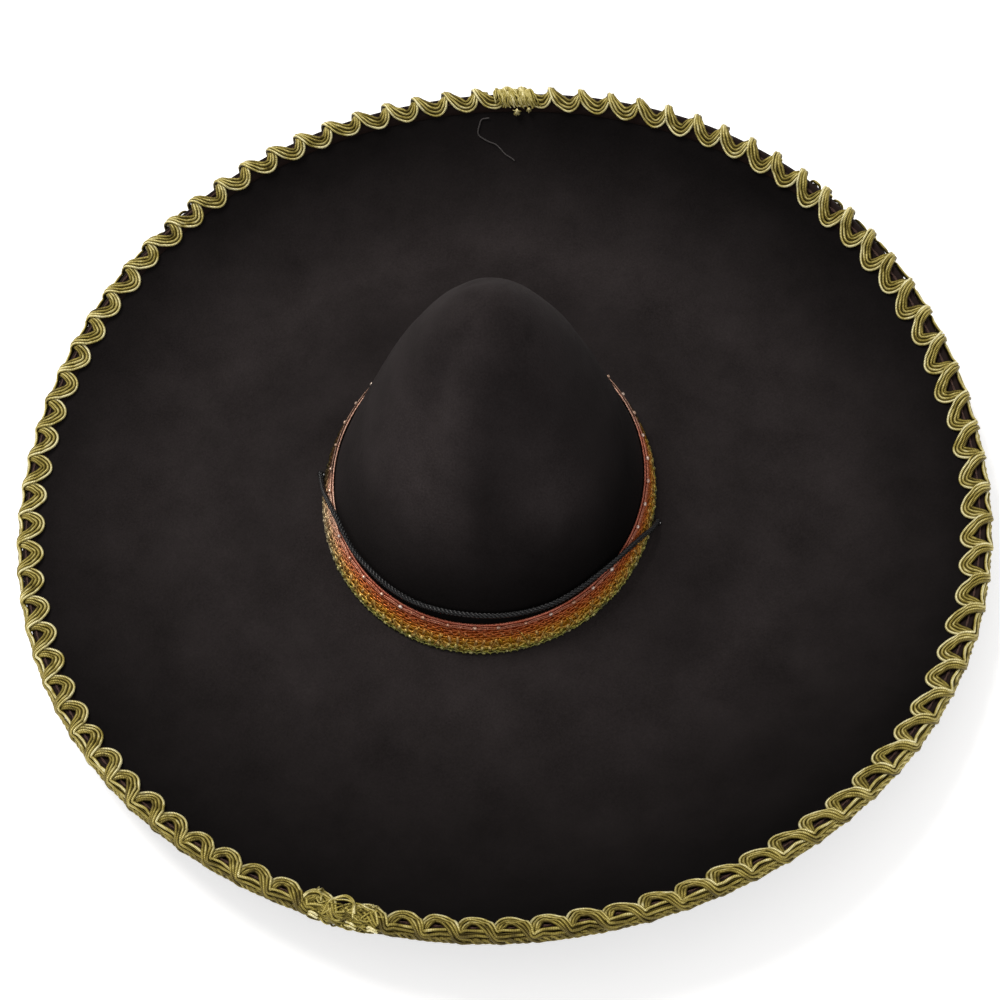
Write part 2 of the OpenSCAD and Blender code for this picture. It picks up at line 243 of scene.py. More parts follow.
def slab_faces(rows, cols, flip=False):
    """Faces of a thin slab: a grid of points for its front, then the same grid for its back."""
    n, last = rows * cols, (rows - 1) * cols
    faces = grid_faces(rows, cols, wrap_cols=False)
    faces += grid_faces(rows, cols, n, wrap_cols=False, flip=True)
    faces += [[j + 1, j, n + j, n + j + 1] for j in range(cols - 1)]
    faces += [[last + j, last + j + 1, n + last + j + 1, n + last + j] for j in range(cols - 1)]
    for a in range(0, last, cols):
        b = a + cols
        faces.append([a, b, n + b, n + a])
        faces.append([b + cols - 1, a + cols - 1, n + a + cols - 1, n + b + cols - 1])
    return [face[::-1] for face in faces] if flip else faces


def unit(v):
    return v / np.maximum(np.linalg.norm(v, axis=-1, keepdims=True), 1e-12)


def smooth_path(points, parts):
    """Smooth curve through the points, with parts steps between each two."""
    r = np.asarray(points, float)
    ext = np.vstack([r[:1], r, r[-1:]])
    u = np.linspace(0, 1, parts, endpoint=False)[:, None]
    out = []
    for k in range(len(r) - 1):
        a, b, c, d = ext[k:k + 4]
        square, cube = a * 2 - b * 5 + c * 4 - d, b * 3 - a - c * 3 + d
        out.append((b * 2 + (c - a) * u + square * u ** 2 + cube * u ** 3) / 2)
    return np.vstack(out + [r[-1:]])


def frames_along(path, closed=False):
    """Directions along a path and two steady sides, with no twist between steps."""
    if closed:
        t = unit(np.roll(path, -1, 0) - np.roll(path, 1, 0))
    else:
        t = unit(np.gradient(path, axis=0))
    side = np.zeros_like(path)
    first = np.array([0, 0, 1.0]) if abs(t[0, 2]) < 0.9 else np.array([1.0, 0, 0])
    side[0] = unit(first - t[0] * (first @ t[0]))
    for k in range(1, len(path)):
        v = side[k - 1] - t[k] * (side[k - 1] @ t[k])
        side[k] = unit(v)
    return t, side, np.cross(t, side)


def tube_parts(path, radius, sides, closed=False):
    """Points, faces and UVs of a tube. U goes round and V is the length in mm."""
    _, u, v = frames_along(path, closed)
    n = len(path)
    angle = 2 * np.pi * np.arange(sides) / sides
    radius = np.broadcast_to(np.asarray(radius, float), (n,))
    ring = u[:, None] * np.cos(angle)[None, :, None] + v[:, None] * np.sin(angle)[None, :, None]
    points = (path[:, None] + ring * radius[:, None, None]).reshape(-1, 3)
    faces = grid_faces(n, sides, wrap_rows=closed)
    step = np.linalg.norm(np.diff(path, axis=0, append=path[:1]), axis=1)
    length = np.concatenate([[0], np.cumsum(step)])
    rows = n if closed else n - 1
    i, j = np.meshgrid(np.arange(rows), np.arange(sides), indexing="ij")
    corners = ((0, 0), (1, 0), (1, 1), (0, 1))
    uv = np.stack([np.stack([(j + a) / sides, length[i + b]], -1) for a, b in corners], -2).reshape(-1, 2)
    if not closed:
        last = (n - 1) * sides
        faces = faces + [list(range(sides - 1, -1, -1)), [last + k for k in range(sides)]]
        uv = np.vstack([uv, np.zeros((2 * sides, 2))])
    return points, faces, uv


def no_uvs(faces):
    """Empty UVs for faces whose material reads none."""
    return np.zeros((sum(len(face) for face in faces), 2))


def join_parts(parts):
    """Several (points, faces, uv) lists as one."""
    points, faces, uvs, start = [], [], [], 0
    for p, f, uv in parts:
        points.append(p)
        faces += [[k + start for k in face] for face in f]
        uvs.append(uv)
        start += len(p)
    return np.vstack(points), faces, np.vstack(uvs)


def soft_noise(shape, seed, smooth):
    """Random field on a grid that goes round in its first direction, smoothed, from -1 to 1."""
    field = np.random.default_rng(seed).normal(size=shape)
    f = np.fft.fft2(field)
    ku = np.fft.fftfreq(shape[0])[:, None] * shape[0]
    kv = np.fft.fftfreq(shape[1])[None, :] * shape[1]
    f *= np.exp(-((ku / smooth[0]) ** 2 + (kv / smooth[1]) ** 2))
    out = np.real(np.fft.ifft2(f))
    return out / np.abs(out).max()


# ---- materials -----------------------------------------------------------------

class Nodes:
    """Short way to build a material's nodes."""

    def __init__(self, name):
        self.material = bpy.data.materials.new(name)
        self.material.use_nodes = True
        self.tree = self.material.node_tree
        self.bsdf = self.tree.nodes["Principled BSDF"]

    def add(self, kind, **settings):
        node = self.tree.nodes.new(kind)
        for key, value in settings.items():
            setattr(node, key, value)
        return node

    def link(self, a, b):
        self.tree.links.new(a, b)

    def give(self, socket, value):
        """Sets a socket to a number or a colour, or links another node's output to it."""
        if isinstance(value, (int, float)):
            socket.default_value = value
        elif isinstance(value, tuple):
            socket.default_value = (*value, 1)
        else:
            self.link(value, socket)

    def fill(self, node, **values):
        """Gives several sockets, each by its name, a value; None leaves a socket as it is."""
        for name, value in values.items():
            if value is not None:
                self.give(node.inputs[name.replace("_", " ")], value)

    def coords(self, kind="Object"):
        return self.add("ShaderNodeTexCoord").outputs[kind]

    def noise(self, vector, scale, detail=3.0, roughness=0.6):
        node = self.add("ShaderNodeTexNoise")
        self.fill(node, Vector=vector, Scale=scale, Detail=detail, Roughness=roughness)
        return node.outputs["Fac"]

    def cells(self, vector, scale):
        node = self.add("ShaderNodeTexVoronoi")
        self.fill(node, Vector=vector, Scale=scale)
        return node.outputs["Distance"]

    def winding(self, turns, pitch):
        """Ridges of the threads wound slantwise round a tube, from its UVs."""
        uv = self.add("ShaderNodeSeparateXYZ")
        self.link(self.coords("UV"), uv.inputs[0])
        round_it = self.math("MULTIPLY", uv.outputs[0], turns)
        phase = self.math("ADD", round_it, self.math("MULTIPLY", uv.outputs[1], 1 / pitch))
        return self.math("SINE", self.math("MULTIPLY", self.math("FRACT", phase), math.pi))

    def math(self, op, a, b=0.5, c=0.0):
        node = self.add("ShaderNodeMath", operation=op)
        for socket, value in zip(node.inputs, (a, b, c)):
            self.give(socket, value)
        return node.outputs[0]

    def ramp(self, value, stops):
        node = self.add("ShaderNodeValToRGB")
        ramp = node.color_ramp
        while len(ramp.elements) < len(stops):
            ramp.elements.new(0.5)
        for element, (at, colour) in zip(ramp.elements, stops):
            element.position = at
            element.color = (*colour, 1)
        self.link(value, node.inputs["Fac"])
        return node.outputs["Color"]

    def grey(self, value, start, stop):
        """Grey from one (place, level) to another along the value."""
        return self.ramp(value, [(at, (level,) * 3) for at, level in (start, stop)])

    def mix(self, fac, a, b):
        """Mix of two colours; the node's colour sockets come after those for other kinds of value."""
        node = self.add("ShaderNodeMix", data_type="RGBA")
        for place, value in ((0, fac), (6, a), (7, b)):
            self.give(node.inputs[place], value)
        return node.outputs[2]

    def attribute(self, name):
        return self.add("ShaderNodeAttribute", attribute_name=name).outputs["Fac"]

    def bump(self, height, strength, distance, normal=None):
        node = self.add("ShaderNodeBump")
        self.fill(node, Strength=strength, Distance=distance, Height=height, Normal=normal)
        return node.outputs["Normal"]

    def surface(self, colour, roughness, normal=None, **fixed):
        self.fill(self.bsdf, Base_Color=colour, Roughness=roughness, Normal=normal, **fixed)
        return self.material


SHADE_FULL = 1.6  # the shade attribute's value that leaves the felt's colour as it is


def felt_material(name, dark, light):
    """Wool felt: short fibres, soft mottling, a slight sheen, and painted shade where the shade attribute
    says so.
    """
    n = Nodes(name)
    at = n.coords()
    blotch = n.noise(at, 26.0, 4.0)
    fibre = n.noise(at, 900.0, 2.0, 0.7)
    fine = n.noise(at, 260.0, 3.0)
    mottle = n.math("MULTIPLY_ADD", fibre, 0.5, n.math("MULTIPLY", blotch, 0.5))
    base = n.ramp(mottle, [(0.3, dark), (0.7, light)])
    # Painted light and shade: the felt's colour is darkened towards black by the shade attribute
    shade = n.math("MULTIPLY", n.attribute("shade"), 1 / SHADE_FULL)
    colour = n.mix(shade, (0.0, 0.0, 0.0), base)
    normal = n.bump(fine, 0.35, 0.0006)
    normal = n.bump(fibre, 0.5, 0.0003, normal)
    return n.surface(
        colour, n.grey(fibre, (0.3, 0.82), (0.7, 0.98)), normal, Specular_IOR_Level=0.05,
        Sheen_Weight=0.012, Sheen_Roughness=0.5, Sheen_Tint=(1.0, 0.93, 0.93),
    )


def tape_material(name, colour):
    """Woven tape with a fine grain."""
    n = Nodes(name)
    at = n.coords()
    tone = n.mix(n.noise(at, 180.0), tuple(c * 0.55 for c in colour), colour)
    return n.surface(tone, 0.75, n.bump(n.cells(at, 1500.0), 0.6, 0.0002), Specular_IOR_Level=0.12)


def metal_thread_material(name, stops):
    """Metallised thread wound round a core, in the tone of the strand attribute, which holds each cord's tone
    with painted light and shade.
    """
    n = Nodes(name)
    ridge = n.winding(1.0, 0.9)
    at = n.coords()
    patch = n.noise(at, 220.0)
    speck = n.noise(at, 1600.0, 2.0)
    grain = n.math("MULTIPLY_ADD", patch, 0.7, n.math("MULTIPLY_ADD", speck, 0.6, 0.15))
    # Tone: lighter on the winding's ridges, painted light, with random patches and specks, times the strand
    # attribute
    tone = n.math("MULTIPLY", n.math("MULTIPLY_ADD", ridge, 0.3, grain), n.attribute("strand"))
    colour = n.ramp(tone, stops)
    normal = n.bump(ridge, 0.8, 0.00025)
    roughness = n.grey(speck, (0.3, 0.3), (0.7, 0.55))
    return n.surface(colour, roughness, normal, Metallic=0.5, Specular_IOR_Level=0.6)


def thread_material(name, dark, light, pitch, rough, sheen):
    """Twisted thread or cord, on a tube's UVs."""
    n = Nodes(name)
    ridge = n.winding(2.0, pitch)
    mottle = n.noise(n.coords(), 500.0, 2.0)
    # Colour lighter on the twist's ridges and darker between them, painted light and shade, with random
    # mottling
    colour = n.mix(n.math("MULTIPLY_ADD", ridge, 0.5, n.math("MULTIPLY", mottle, 0.5)), dark, light)
    normal = n.bump(ridge, 0.7, 0.0004)
    return n.surface(colour, rough, normal, Sheen_Weight=sheen, Specular_IOR_Level=0.5)


GOLD_STOPS = [
    (0.0, (0.010, 0.006, 0.001)), (0.22, (0.10, 0.072, 0.006)), (0.48, (0.33, 0.26, 0.045)),
    (0.75, (0.62, 0.53, 0.19)), (1.0, (0.86, 0.79, 0.44)),
]
PALE_STOPS = [
    (0.0, (0.015, 0.010, 0.002)), (0.22, (0.15, 0.115, 0.01)), (0.48, (0.42, 0.34, 0.065)),
    (0.75, (0.66, 0.57, 0.2)), (1.0, (0.88, 0.8, 0.44)),
]
BAND_STOPS = [
    (0.0, (0.04, 0.075, 0.005)), (0.09, (0.42, 0.42, 0.04)), (0.24, (0.7, 0.4, 0.02)),
    (0.42, (0.76, 0.32, 0.012)), (0.64, (0.64, 0.14, 0.008)), (0.9, (0.52, 0.09, 0.025)),
    (1.0, (0.64, 0.2, 0.13)),
]


def band_material():
    """Woven metal threads whose colour goes from yellow green at the foot over gold to pink at the top.
    The attributes say how high a point is, how much painted sparkle and glint it gets, and where painted
    shade darkens it or painted glare makes it pale."""
    n = Nodes("metallic_band_weave")
    at = n.coords()
    uneven = n.math("MULTIPLY_ADD", n.noise(at, 160.0, 2.0), 0.24, -0.12)
    base = n.ramp(n.math("ADD", n.attribute("height"), uneven), BAND_STOPS)
    speck = n.noise(at, 900.0, 3.0, 0.7)
    shaded = n.mix(n.math("MULTIPLY", speck, 1.3), n.mix(0.8, base, (0.02, 0.008, 0.002)), base)
    # Painted sparkle: paler gold where the attribute and the specks are high; then a painted near-white glint
    # on the brightest beads
    bright = n.mix(0.55, base, (1.0, 0.82, 0.56))
    painted_sparkle = n.math("MULTIPLY", n.attribute("painted_sparkle"), n.math("MULTIPLY_ADD", speck, 1.4, -0.15))
    colour = n.mix(n.math("MINIMUM", painted_sparkle, 1.0), shaded, bright)
    glint = n.math("MULTIPLY_ADD", n.attribute("painted_sparkle"), 4.0, -4.2)
    colour = n.mix(glint, colour, (1.0, 0.84, 0.76))
    # Painted glare, pale, at the left, and painted shade, near black, where the crown shades the band
    colour = n.mix(n.math("MULTIPLY", n.attribute("painted_glare"), 0.8), colour, (0.55, 0.44, 0.34))
    colour = n.mix(n.attribute("dim"), colour, (0.004, 0.003, 0.003))
    normal = n.bump(n.cells(at, 1100.0), 0.7, 0.0003)
    roughness = n.grey(speck, (0.35, 0.3), (0.7, 0.55))
    return n.surface(colour, roughness, normal, Metallic=0.75, Specular_IOR_Level=0.4)


def leather_material():
    """Dark sweatband leather: pebbled grain, creases and worn, shinier patches."""
    n = Nodes("sweatband_leather")
    at = n.coords()
    crease = n.noise(at, 120.0, 5.0, 0.65)
    colour = n.ramp(crease, [(0.3, (0.007, 0.005, 0.004)), (0.7, (0.02, 0.014, 0.011))])
    normal = n.bump(crease, 0.4, 0.0008, n.bump(n.cells(at, 850.0), 0.5, 0.0002))
    roughness = n.grey(n.noise(at, 30.0, 2.0), (0.35, 0.42), (0.7, 0.62))
    return n.surface(colour, roughness, normal, Specular_IOR_Level=0.45)


def wire_material():
    """Drawn steel wire with fine marks along it and a little oxide."""
    n = Nodes("drawn_steel_wire")
    at = n.coords()
    marks = n.noise(at, 1400.0, 4.0, 0.7)
    colour = n.ramp(n.noise(at, 90.0), [(0.35, (0.2, 0.18, 0.16)), (0.65, (0.46, 0.46, 0.47))])
    roughness = n.grey(marks, (0.3, 0.28), (0.7, 0.5))
    return n.surface(colour, roughness, n.bump(marks, 0.3, 0.0001), Metallic=1.0)


# ---- camera and light ------------------------------------------------------------

AZIMUTH, ELEVATION, DISTANCE = 11.0, 61.54, 1.260
ROLL = -7.21
LENS = 76.9


def make_camera():
    target = Vector((CENTRE[0] * MM, CENTRE[1] * MM, FOOT_Z * MM))
    a, e, r = (math.radians(v) for v in (AZIMUTH, ELEVATION, ROLL))
    back = Vector((math.sin(a) * math.cos(e), -math.cos(a) * math.cos(e), math.sin(e)))
    right = Vector((math.cos(a), math.sin(a), 0))
    up = back.cross(right)
    right, up = right * math.cos(r) + up * math.sin(r), up * math.cos(r) - right * math.sin(r)
    camera = add_object("camera", bpy.data.cameras.new("camera"))
    matrix = camera.matrix_world.copy()
    for row in range(3):
        matrix[row][0], matrix[row][1], matrix[row][2] = right[row], up[row], back[row]
    matrix.translation = target + back * DISTANCE
    camera.matrix_world = matrix
    camera.data.lens = LENS
    camera.data.sensor_width = 36.0
    camera.data.shift_x = 0.003
    camera.data.shift_y = 0.003
    camera.data.clip_start = 0.01
    bpy.context.scene.camera = camera


def area_light(name, place, size, power, colour):
    light = bpy.data.lights.new(name, "AREA")
    light.shape = "DISK"
    light.size = size
    light.energy = power
    light.color = colour
    lamp = add_object(name, light)
    lamp.location = place
    lamp.rotation_euler = (Vector((0, 0, 0.03)) - lamp.location).to_track_quat("-Z", "Y").to_euler()


def make_lights():
    scene = bpy.context.scene
    scene.view_settings.view_transform = "Standard"
    world = bpy.data.worlds.new("world")
    scene.world = world
    world.use_nodes = True
    background = world.node_tree.nodes["Background"]
    background.inputs["Color"].default_value = (1.0, 0.985, 0.97, 1)
    background.inputs["Strength"].default_value = 0.52
    area_light("key", (-1.0, 0.9, 2.2), 1.1, 44.0, (1.0, 0.97, 0.93))
    area_light("fill", (0.9, -1.7, 1.8), 2.0, 9.0, (0.97, 0.98, 1.0))


def make_floor():
    mesh = bpy.data.meshes.new("floor")
    mesh.from_pydata([(-4, -4, 0), (4, -4, 0), (4, 4, 0), (-4, 4, 0)], [], [(0, 1, 2, 3)])
    floor = add_object("floor", mesh)
    n = Nodes("floor_paper")
    tone = n.grey(n.noise(n.coords(), 6.0, 2.0), (0.3, 0.90), (0.7, 0.92))
    n.surface(tone, 0.9, Specular_IOR_Level=0.1, Emission_Color=(1, 1, 1), Emission_Strength=0.5)
    floor.data.materials.append(n.material)


# ---- cords -----------------------------------------------------------------------

CORD_D = 3.0
CORD_ROUTE = [
    (-99, -1, 16.5), (-96.3, -9.5, 21.5), (-92.7, -17.5, 27), (-89, -25, 31.5), (-84, -34, 34.5),
    (-78.5, -44.5, 35.5), (-71.5, -55.5, 36), (-61.5, -66.5, 36.5), (-49.5, -77, 36.5), (-35, -85.5, 36.5),
    (-19.5, -90.5, 37), (-2.5, -93, 37.5), (14.5, -92.5, 37), (30.5, -89, 36.5), (45.5, -82.5, 36),
    (58.5, -73, 35.5), (69.5, -62.5, 35), (79, -52, 33.5), (86.5, -41.5, 29.5), (92.8, -32, 25),
    (98.2, -23, 18.5),
]
THREAD_D = 0.7
THREAD_ROUTE = [
    (-19, 254, 40.3), (-21.2, 254, 39.8), (-24.1, 253.5, 39.2), (-25, 251, 37.2),
    (-26, 248.3, 34.9), (-25.6, 246, 32.7), (-22.6, 244.5, 31.2), (-18.6, 243, 29.8),
    (-14.6, 242, 29.1), (-11.1, 239.5, 27.2), (-8.1, 237, 25.3), (-4.6, 235.5, 24.2),
    (-2.1, 234, 23.1),
]


def hole_place(angle):
    return np.array([(FOOT_A + HOLE_OUT) * cosd(angle), (FOOT_B + HOLE_OUT) * sind(angle), GAP + FELT / 2])


def strand_bundle(path, radius, count, turns_per_mm, sides):
    """Several strands twisted round each other, as parts of one cord."""
    _, u, v = frames_along(path)
    length = np.concatenate([[0], np.cumsum(np.linalg.norm(np.diff(path, axis=0), axis=1))])
    strand = radius / (1 + 1 / math.sin(math.pi / count)) if count > 2 else radius / 2
    parts = []
    for k in range(count):
        a = 2 * np.pi * (turns_per_mm * length + k / count)
        centre = path + (u * np.cos(a)[:, None] + v * np.sin(a)[:, None]) * (radius - strand)
        parts.append(tube_parts(centre, strand * 1.08, sides))
    return join_parts(parts)


def resample(path, step):
    """Even steps along a path; columns after x, y and z are carried along."""
    length = np.concatenate([[0], np.cumsum(np.linalg.norm(np.diff(path[:, :3], axis=0), axis=1))])
    at = np.linspace(0, length[-1], max(2, int(length[-1] / step)))
    return np.stack([np.interp(at, length, column) for column in path.T], -1)


def soften(path):
    """The path with its tight bends opened a little; its ends stay where they are."""
    for _ in range(2):
        path[1:-1] = (path[:-2] + 2 * path[1:-1] + path[2:]) / 4
    return path


def make_cords():
    dark, light = (0.0018, 0.0018, 0.0022), (0.0065, 0.0065, 0.008)
    satin = thread_material("black_satin_cord", dark, light, 2.6, 0.38, 0.03)
    ends = {side: hole_place(angle) for side, angle in HOLE_ANGLES.items()}
    for p in ends.values():
        p[2] = FOOT_Z + 1.9
    route = smooth_path([ends["left"], *CORD_ROUTE, ends["right"]], 6)
    path = resample(route, 0.45)
    strands = strand_bundle(path, CORD_D / 2, 3, 1 / 7.5, 10)
    shape = join_parts([strands, tube_parts(path, CORD_D * 0.31, 8)])
    cord = make_object("chin_cord_satin", shape, satin, "satin_cord", "chin_cord", body="chin_cord")

    grey = thread_material("grey_thread", (0.03, 0.026, 0.025), (0.085, 0.072, 0.07), 0.9, 0.8, 0.1)
    path = resample(smooth_path(soften(resample(smooth_path(THREAD_ROUTE, 8), 1.0)), 4), 0.25)
    shape = strand_bundle(path, THREAD_D * 0.62, 2, 1 / 1.6, 8)
    thread = make_object("loose_sewing_thread", shape, grey, "loose_thread", "loose_thread")
    return satin


# ---- felt ------------------------------------------------------------------------

CROWN_COLS, CROWN_ROWS = 300, 130


# Soft patches of painted light and shade on the crown: how much lighter or darker, at which angle and share
# of the height, how wide in degrees and how tall
CROWN_PATCHES = ((0.55, -118, 0.58, 34, 0.24), (0.7, -47, 0.47, 17, 0.17), (-0.42, -86, 0.48, 11, 0.2))


def crown_shade(phi, t):
    """Painted light and shade on the crown: painted light on the bulges beside the pinches, painted shade
    between them, at the foot and on the right."""
    low = np.clip(1.3 - t / 0.34, 0, 1) * np.clip(0.3 - 1.3 * sind(phi - 10), 0, 1)
    right = np.clip(cosd(phi + 10), 0, 1) ** 1.5 * np.clip(1.15 - t, 0, 1)
    level = 1
    for amount, at, high, wide, tall in CROWN_PATCHES:
        level = level + amount * np.exp(-((turn(phi - at) / wide) ** 2) - ((t - high) / tall) ** 2)
    return level * (1 - 0.88 * low) * (1 - 0.5 * right)


def make_crown(felt):
    phis = around(CROWN_COLS)
    t = 1 - (1 - np.arange(CROWN_ROWS) / CROWN_ROWS) ** 2
    wave = soft_noise((CROWN_COLS, CROWN_ROWS), 3, (9, 9)).T * 0.7
    wave = wave * np.clip((t[:, None] - 0.15) / 0.2, 0, 1)
    outer = crown_point(phis[None, :], t[:, None], wave)
    across = np.roll(outer, -1, 1) - np.roll(outer, 1, 1)
    along = np.gradient(outer, axis=0)
    normal = unit(np.cross(across, along))
    inner = outer - normal * FELT
    inner[0, :, 2] = FOOT_Z
    tip = crown_point(0, 1.0)
    n = CROWN_ROWS * CROWN_COLS
    points = np.vstack([outer.reshape(-1, 3), inner.reshape(-1, 3), tip[None], tip[None] - [0, 0, FELT]])
    faces = grid_faces(CROWN_ROWS, CROWN_COLS) + grid_faces(CROWN_ROWS, CROWN_COLS, n, flip=True)
    faces += strip(n, 0, CROWN_COLS)
    faces += fan(n - CROWN_COLS, 2 * n, CROWN_COLS) + fan(2 * n - CROWN_COLS, 2 * n + 1, CROWN_COLS, True)
    crown = make_object("crown_shell", (points, faces), felt, "crown_felt", "crown_felt")
    # The shade attribute: the crown's painted light and shade with random tone; its inside gets 0.8 of it, as
    # painted shade
    shade = 0.85 * crown_shade(phis[None, :], t[:, None])
    shade = shade * (1 + 0.12 * soft_noise((CROWN_COLS, CROWN_ROWS), 5, (5, 5)).T)
    shade = shade.ravel()
    add_attribute(crown, "shade", np.concatenate([shade, shade * 0.8, [0.9, 0.8]]))


BRIM_COLS = 720


def brim_rows():
    """Shares of the brim's width for the rows of its mesh, closer near the foot and the rim."""
    inner, middle = np.linspace(0, 0.1, 14)[:-1], np.linspace(0.1, 0.9, 70)[:-1]
    return np.concatenate([inner, middle, np.linspace(0.9, 1, 16)])


def brim_wave(phi, s):
    """Softness of the real felt: slow ripples of a few tenths of a millimetre."""
    ripple = 0.5 * sind(5 * phi + 40) * s ** 2 + 0.35 * sind(9 * phi + 200 * s) * s ** 2
    calm = np.clip((s - 0.45) / 0.2, 0, 1) * np.clip((0.97 - s) / 0.08, 0, 1)
    return ripple * calm


def brim_shade(phi, s):
    """Painted light and shade on the brim, with soft random patches: painted shade towards the curled edge,
    over a wider ring at the front and the back than at the sides, a painted light band and painted shade near
    the foot at the back, and painted light near the foot at the front."""
    phi, s = phi[None, :], s[:, None]
    front, back = at_front(phi), at_back(phi)
    start = 0.5 - 0.3 * front - 0.02 * back
    fall = np.clip((s - start) / (0.92 - start), 0, 1)
    deep = 0.48 + np.maximum(0.34 * front, 0.22 * back) + 0.14 * np.maximum(0, cosd(phi))
    level = 1 - deep * fall ** (1.5 - 0.5 * front)
    ridge = np.exp(-(((s - 0.47) / 0.1) ** 2)) - 0.9 * np.exp(-(((s - 0.15) / 0.14) ** 2))
    level = level + 0.2 * ridge * back + 0.12 * front * np.exp(-(((s - 0.1) / 0.12) ** 2))
    blotch = soft_noise((BRIM_COLS, s.shape[0]), 11, (14, 6)).T
    return 0.8 * level * (1 + 0.14 * blotch)


HOLE_RADIUS = 2.0


def cut_holes(points, cells, top_start, low_start):
    """Opens the cord's round holes through both faces of the brim and walls them."""
    keep = np.ones(len(cells), bool)
    walls = []
    for angle in HOLE_ANGLES.values():
        p = hole_place(angle)[:2]
        centre = points[top_start + cells].mean(1)[:, :2]
        near = np.linalg.norm(centre - p, axis=1) < HOLE_RADIUS
        keep &= ~near
        count = {}
        for cell in cells[near]:
            for a, b in zip(cell, np.roll(cell, -1)):
                count.setdefault((min(a, b), max(a, b)), []).append((a, b))
        rim = [pair[0] for pair in count.values() if len(pair) == 1]
        for k in {v for pair in rim for v in pair}:
            for start in (top_start, low_start):
                d = points[start + k, :2] - p
                points[start + k, :2] = p + d / np.linalg.norm(d) * HOLE_RADIUS
        walls += [[top_start + b, top_start + a, low_start + a, low_start + b] for a, b in rim]
    return cells[keep], walls


def make_brim(felt):
    phis = around(BRIM_COLS)
    s = brim_rows()
    rows = len(s)
    wave = brim_wave(phis[None, :], s[:, None])
    top = brim_point(phis[None, :], s[:, None], FELT) + wave[..., None] * [0, 0, 1]
    low = brim_point(phis[None, :], s[:, None], 0.0) + wave[..., None] * [0, 0, 1]
    edge = [trim_point(phis, 0.5 * math.cos(a), 1.25 * math.sin(a))[None] for a in (1.0, 0.0, -1.0)]
    collar = [wall_point(phis, z, inset)[None] for z, inset in (
        (FOOT_Z, COLLAR_IN), (FOOT_Z + 5, COLLAR_IN), (FOOT_Z + COLLAR_H - 0.6, COLLAR_IN),
        (FOOT_Z + COLLAR_H, COLLAR_IN + 0.7), (FOOT_Z + COLLAR_H, COLLAR_IN + FELT - 0.7),
        (FOOT_Z + COLLAR_H - 0.6, COLLAR_IN + FELT), (FOOT_Z + 3, COLLAR_IN + FELT), (GAP, COLLAR_IN + FELT))]
    n = rows * BRIM_COLS
    points = np.vstack([top.reshape(-1, 3), low.reshape(-1, 3), np.vstack(edge).reshape(-1, 3),
                        np.vstack(collar).reshape(-1, 3)])
    cells = np.array(grid_faces(rows, BRIM_COLS))
    cells, walls = cut_holes(points, cells, 0, n)
    faces = cells[:, ::-1].tolist() + (cells + n).tolist() + walls

    edge_rows = [2 * n + k * BRIM_COLS for k in range(len(edge))]
    collar_rows = [edge_rows[-1] + (k + 1) * BRIM_COLS for k in range(len(collar))]
    round_edge = [n - BRIM_COLS, *edge_rows, 2 * n - BRIM_COLS]
    for chain in (round_edge, [n, *reversed(collar_rows), 0]):
        for a, b in zip(chain, chain[1:]):
            faces += strip(b, a, BRIM_COLS)
    brim = make_object("brim_sheet", (points, faces), felt, "brim_felt", "brim_felt")
    # The shade attribute: the top's painted light and shade with random patches; the underside gets 0.9 of
    # it, and the rounded edge and the collar inside the crown a dark 0.3, as painted shade
    shade = brim_shade(phis, s).ravel()
    rest = np.full((len(edge) + len(collar)) * BRIM_COLS, 0.3)
    add_attribute(brim, "shade", np.concatenate([shade, shade * 0.9, rest]))
    clean_loose(brim)


def clean_loose(piece):
    """Drops points that no face uses."""
    bm = bmesh.new()
    bm.from_mesh(piece.data)
    bmesh.ops.delete(bm, geom=[v for v in bm.verts if not v.link_faces], context="VERTS")
    bmesh.ops.recalc_face_normals(bm, faces=bm.faces)
    bm.to_mesh(piece.data)
    bm.free()


# ---- edge trim ---------------------------------------------------------------------

BINDING_T = 0.4
# The braid's way over the edge: [out, up] of a cord's middle, from the inner end of its loops
# on top of the brim, over the very edge at its eighth point, to the inner end underneath
EDGE_WAY = np.array([
    (-18, 1.95), (-10, 2.0), (-7.5, 2.5), (-4, 2.75), (-2, 3.3), (-0.3, 3.0), (1.0, 2.0), (1.6, 0.4),
    (1.7, -1.4), (1.3, -3.2), (-0.2, -4.3), (-2.4, -4.4), (-4.4, -3.6), (-6, -2.8), (-14, -2.6),
])
EDGE_STEPS = np.concatenate([[0], np.cumsum(np.linalg.norm(np.diff(EDGE_WAY, axis=0), axis=1))])
EDGE_ZERO = EDGE_STEPS[7]


def edge_way(w, lift):
    """Place [out, up] at distance w inwards from the very edge, raised by lift off the brim."""
    (out, up), ahead, behind = (
        [np.interp(EDGE_ZERO - w + step, EDGE_STEPS, EDGE_WAY[:, k]) for k in (0, 1)]
        for step in (0, 0.8, -0.8)
    )
    d_out, d_up = ahead[0] - behind[0], ahead[1] - behind[1]
    size = np.maximum(np.hypot(d_out, d_up), 1e-9)
    return out - lift * d_up / size, up + lift * d_out / size


def edge_place(phi, w, lift):
    out, up = edge_way(w, lift)
    return trim_point(phi, out, up)


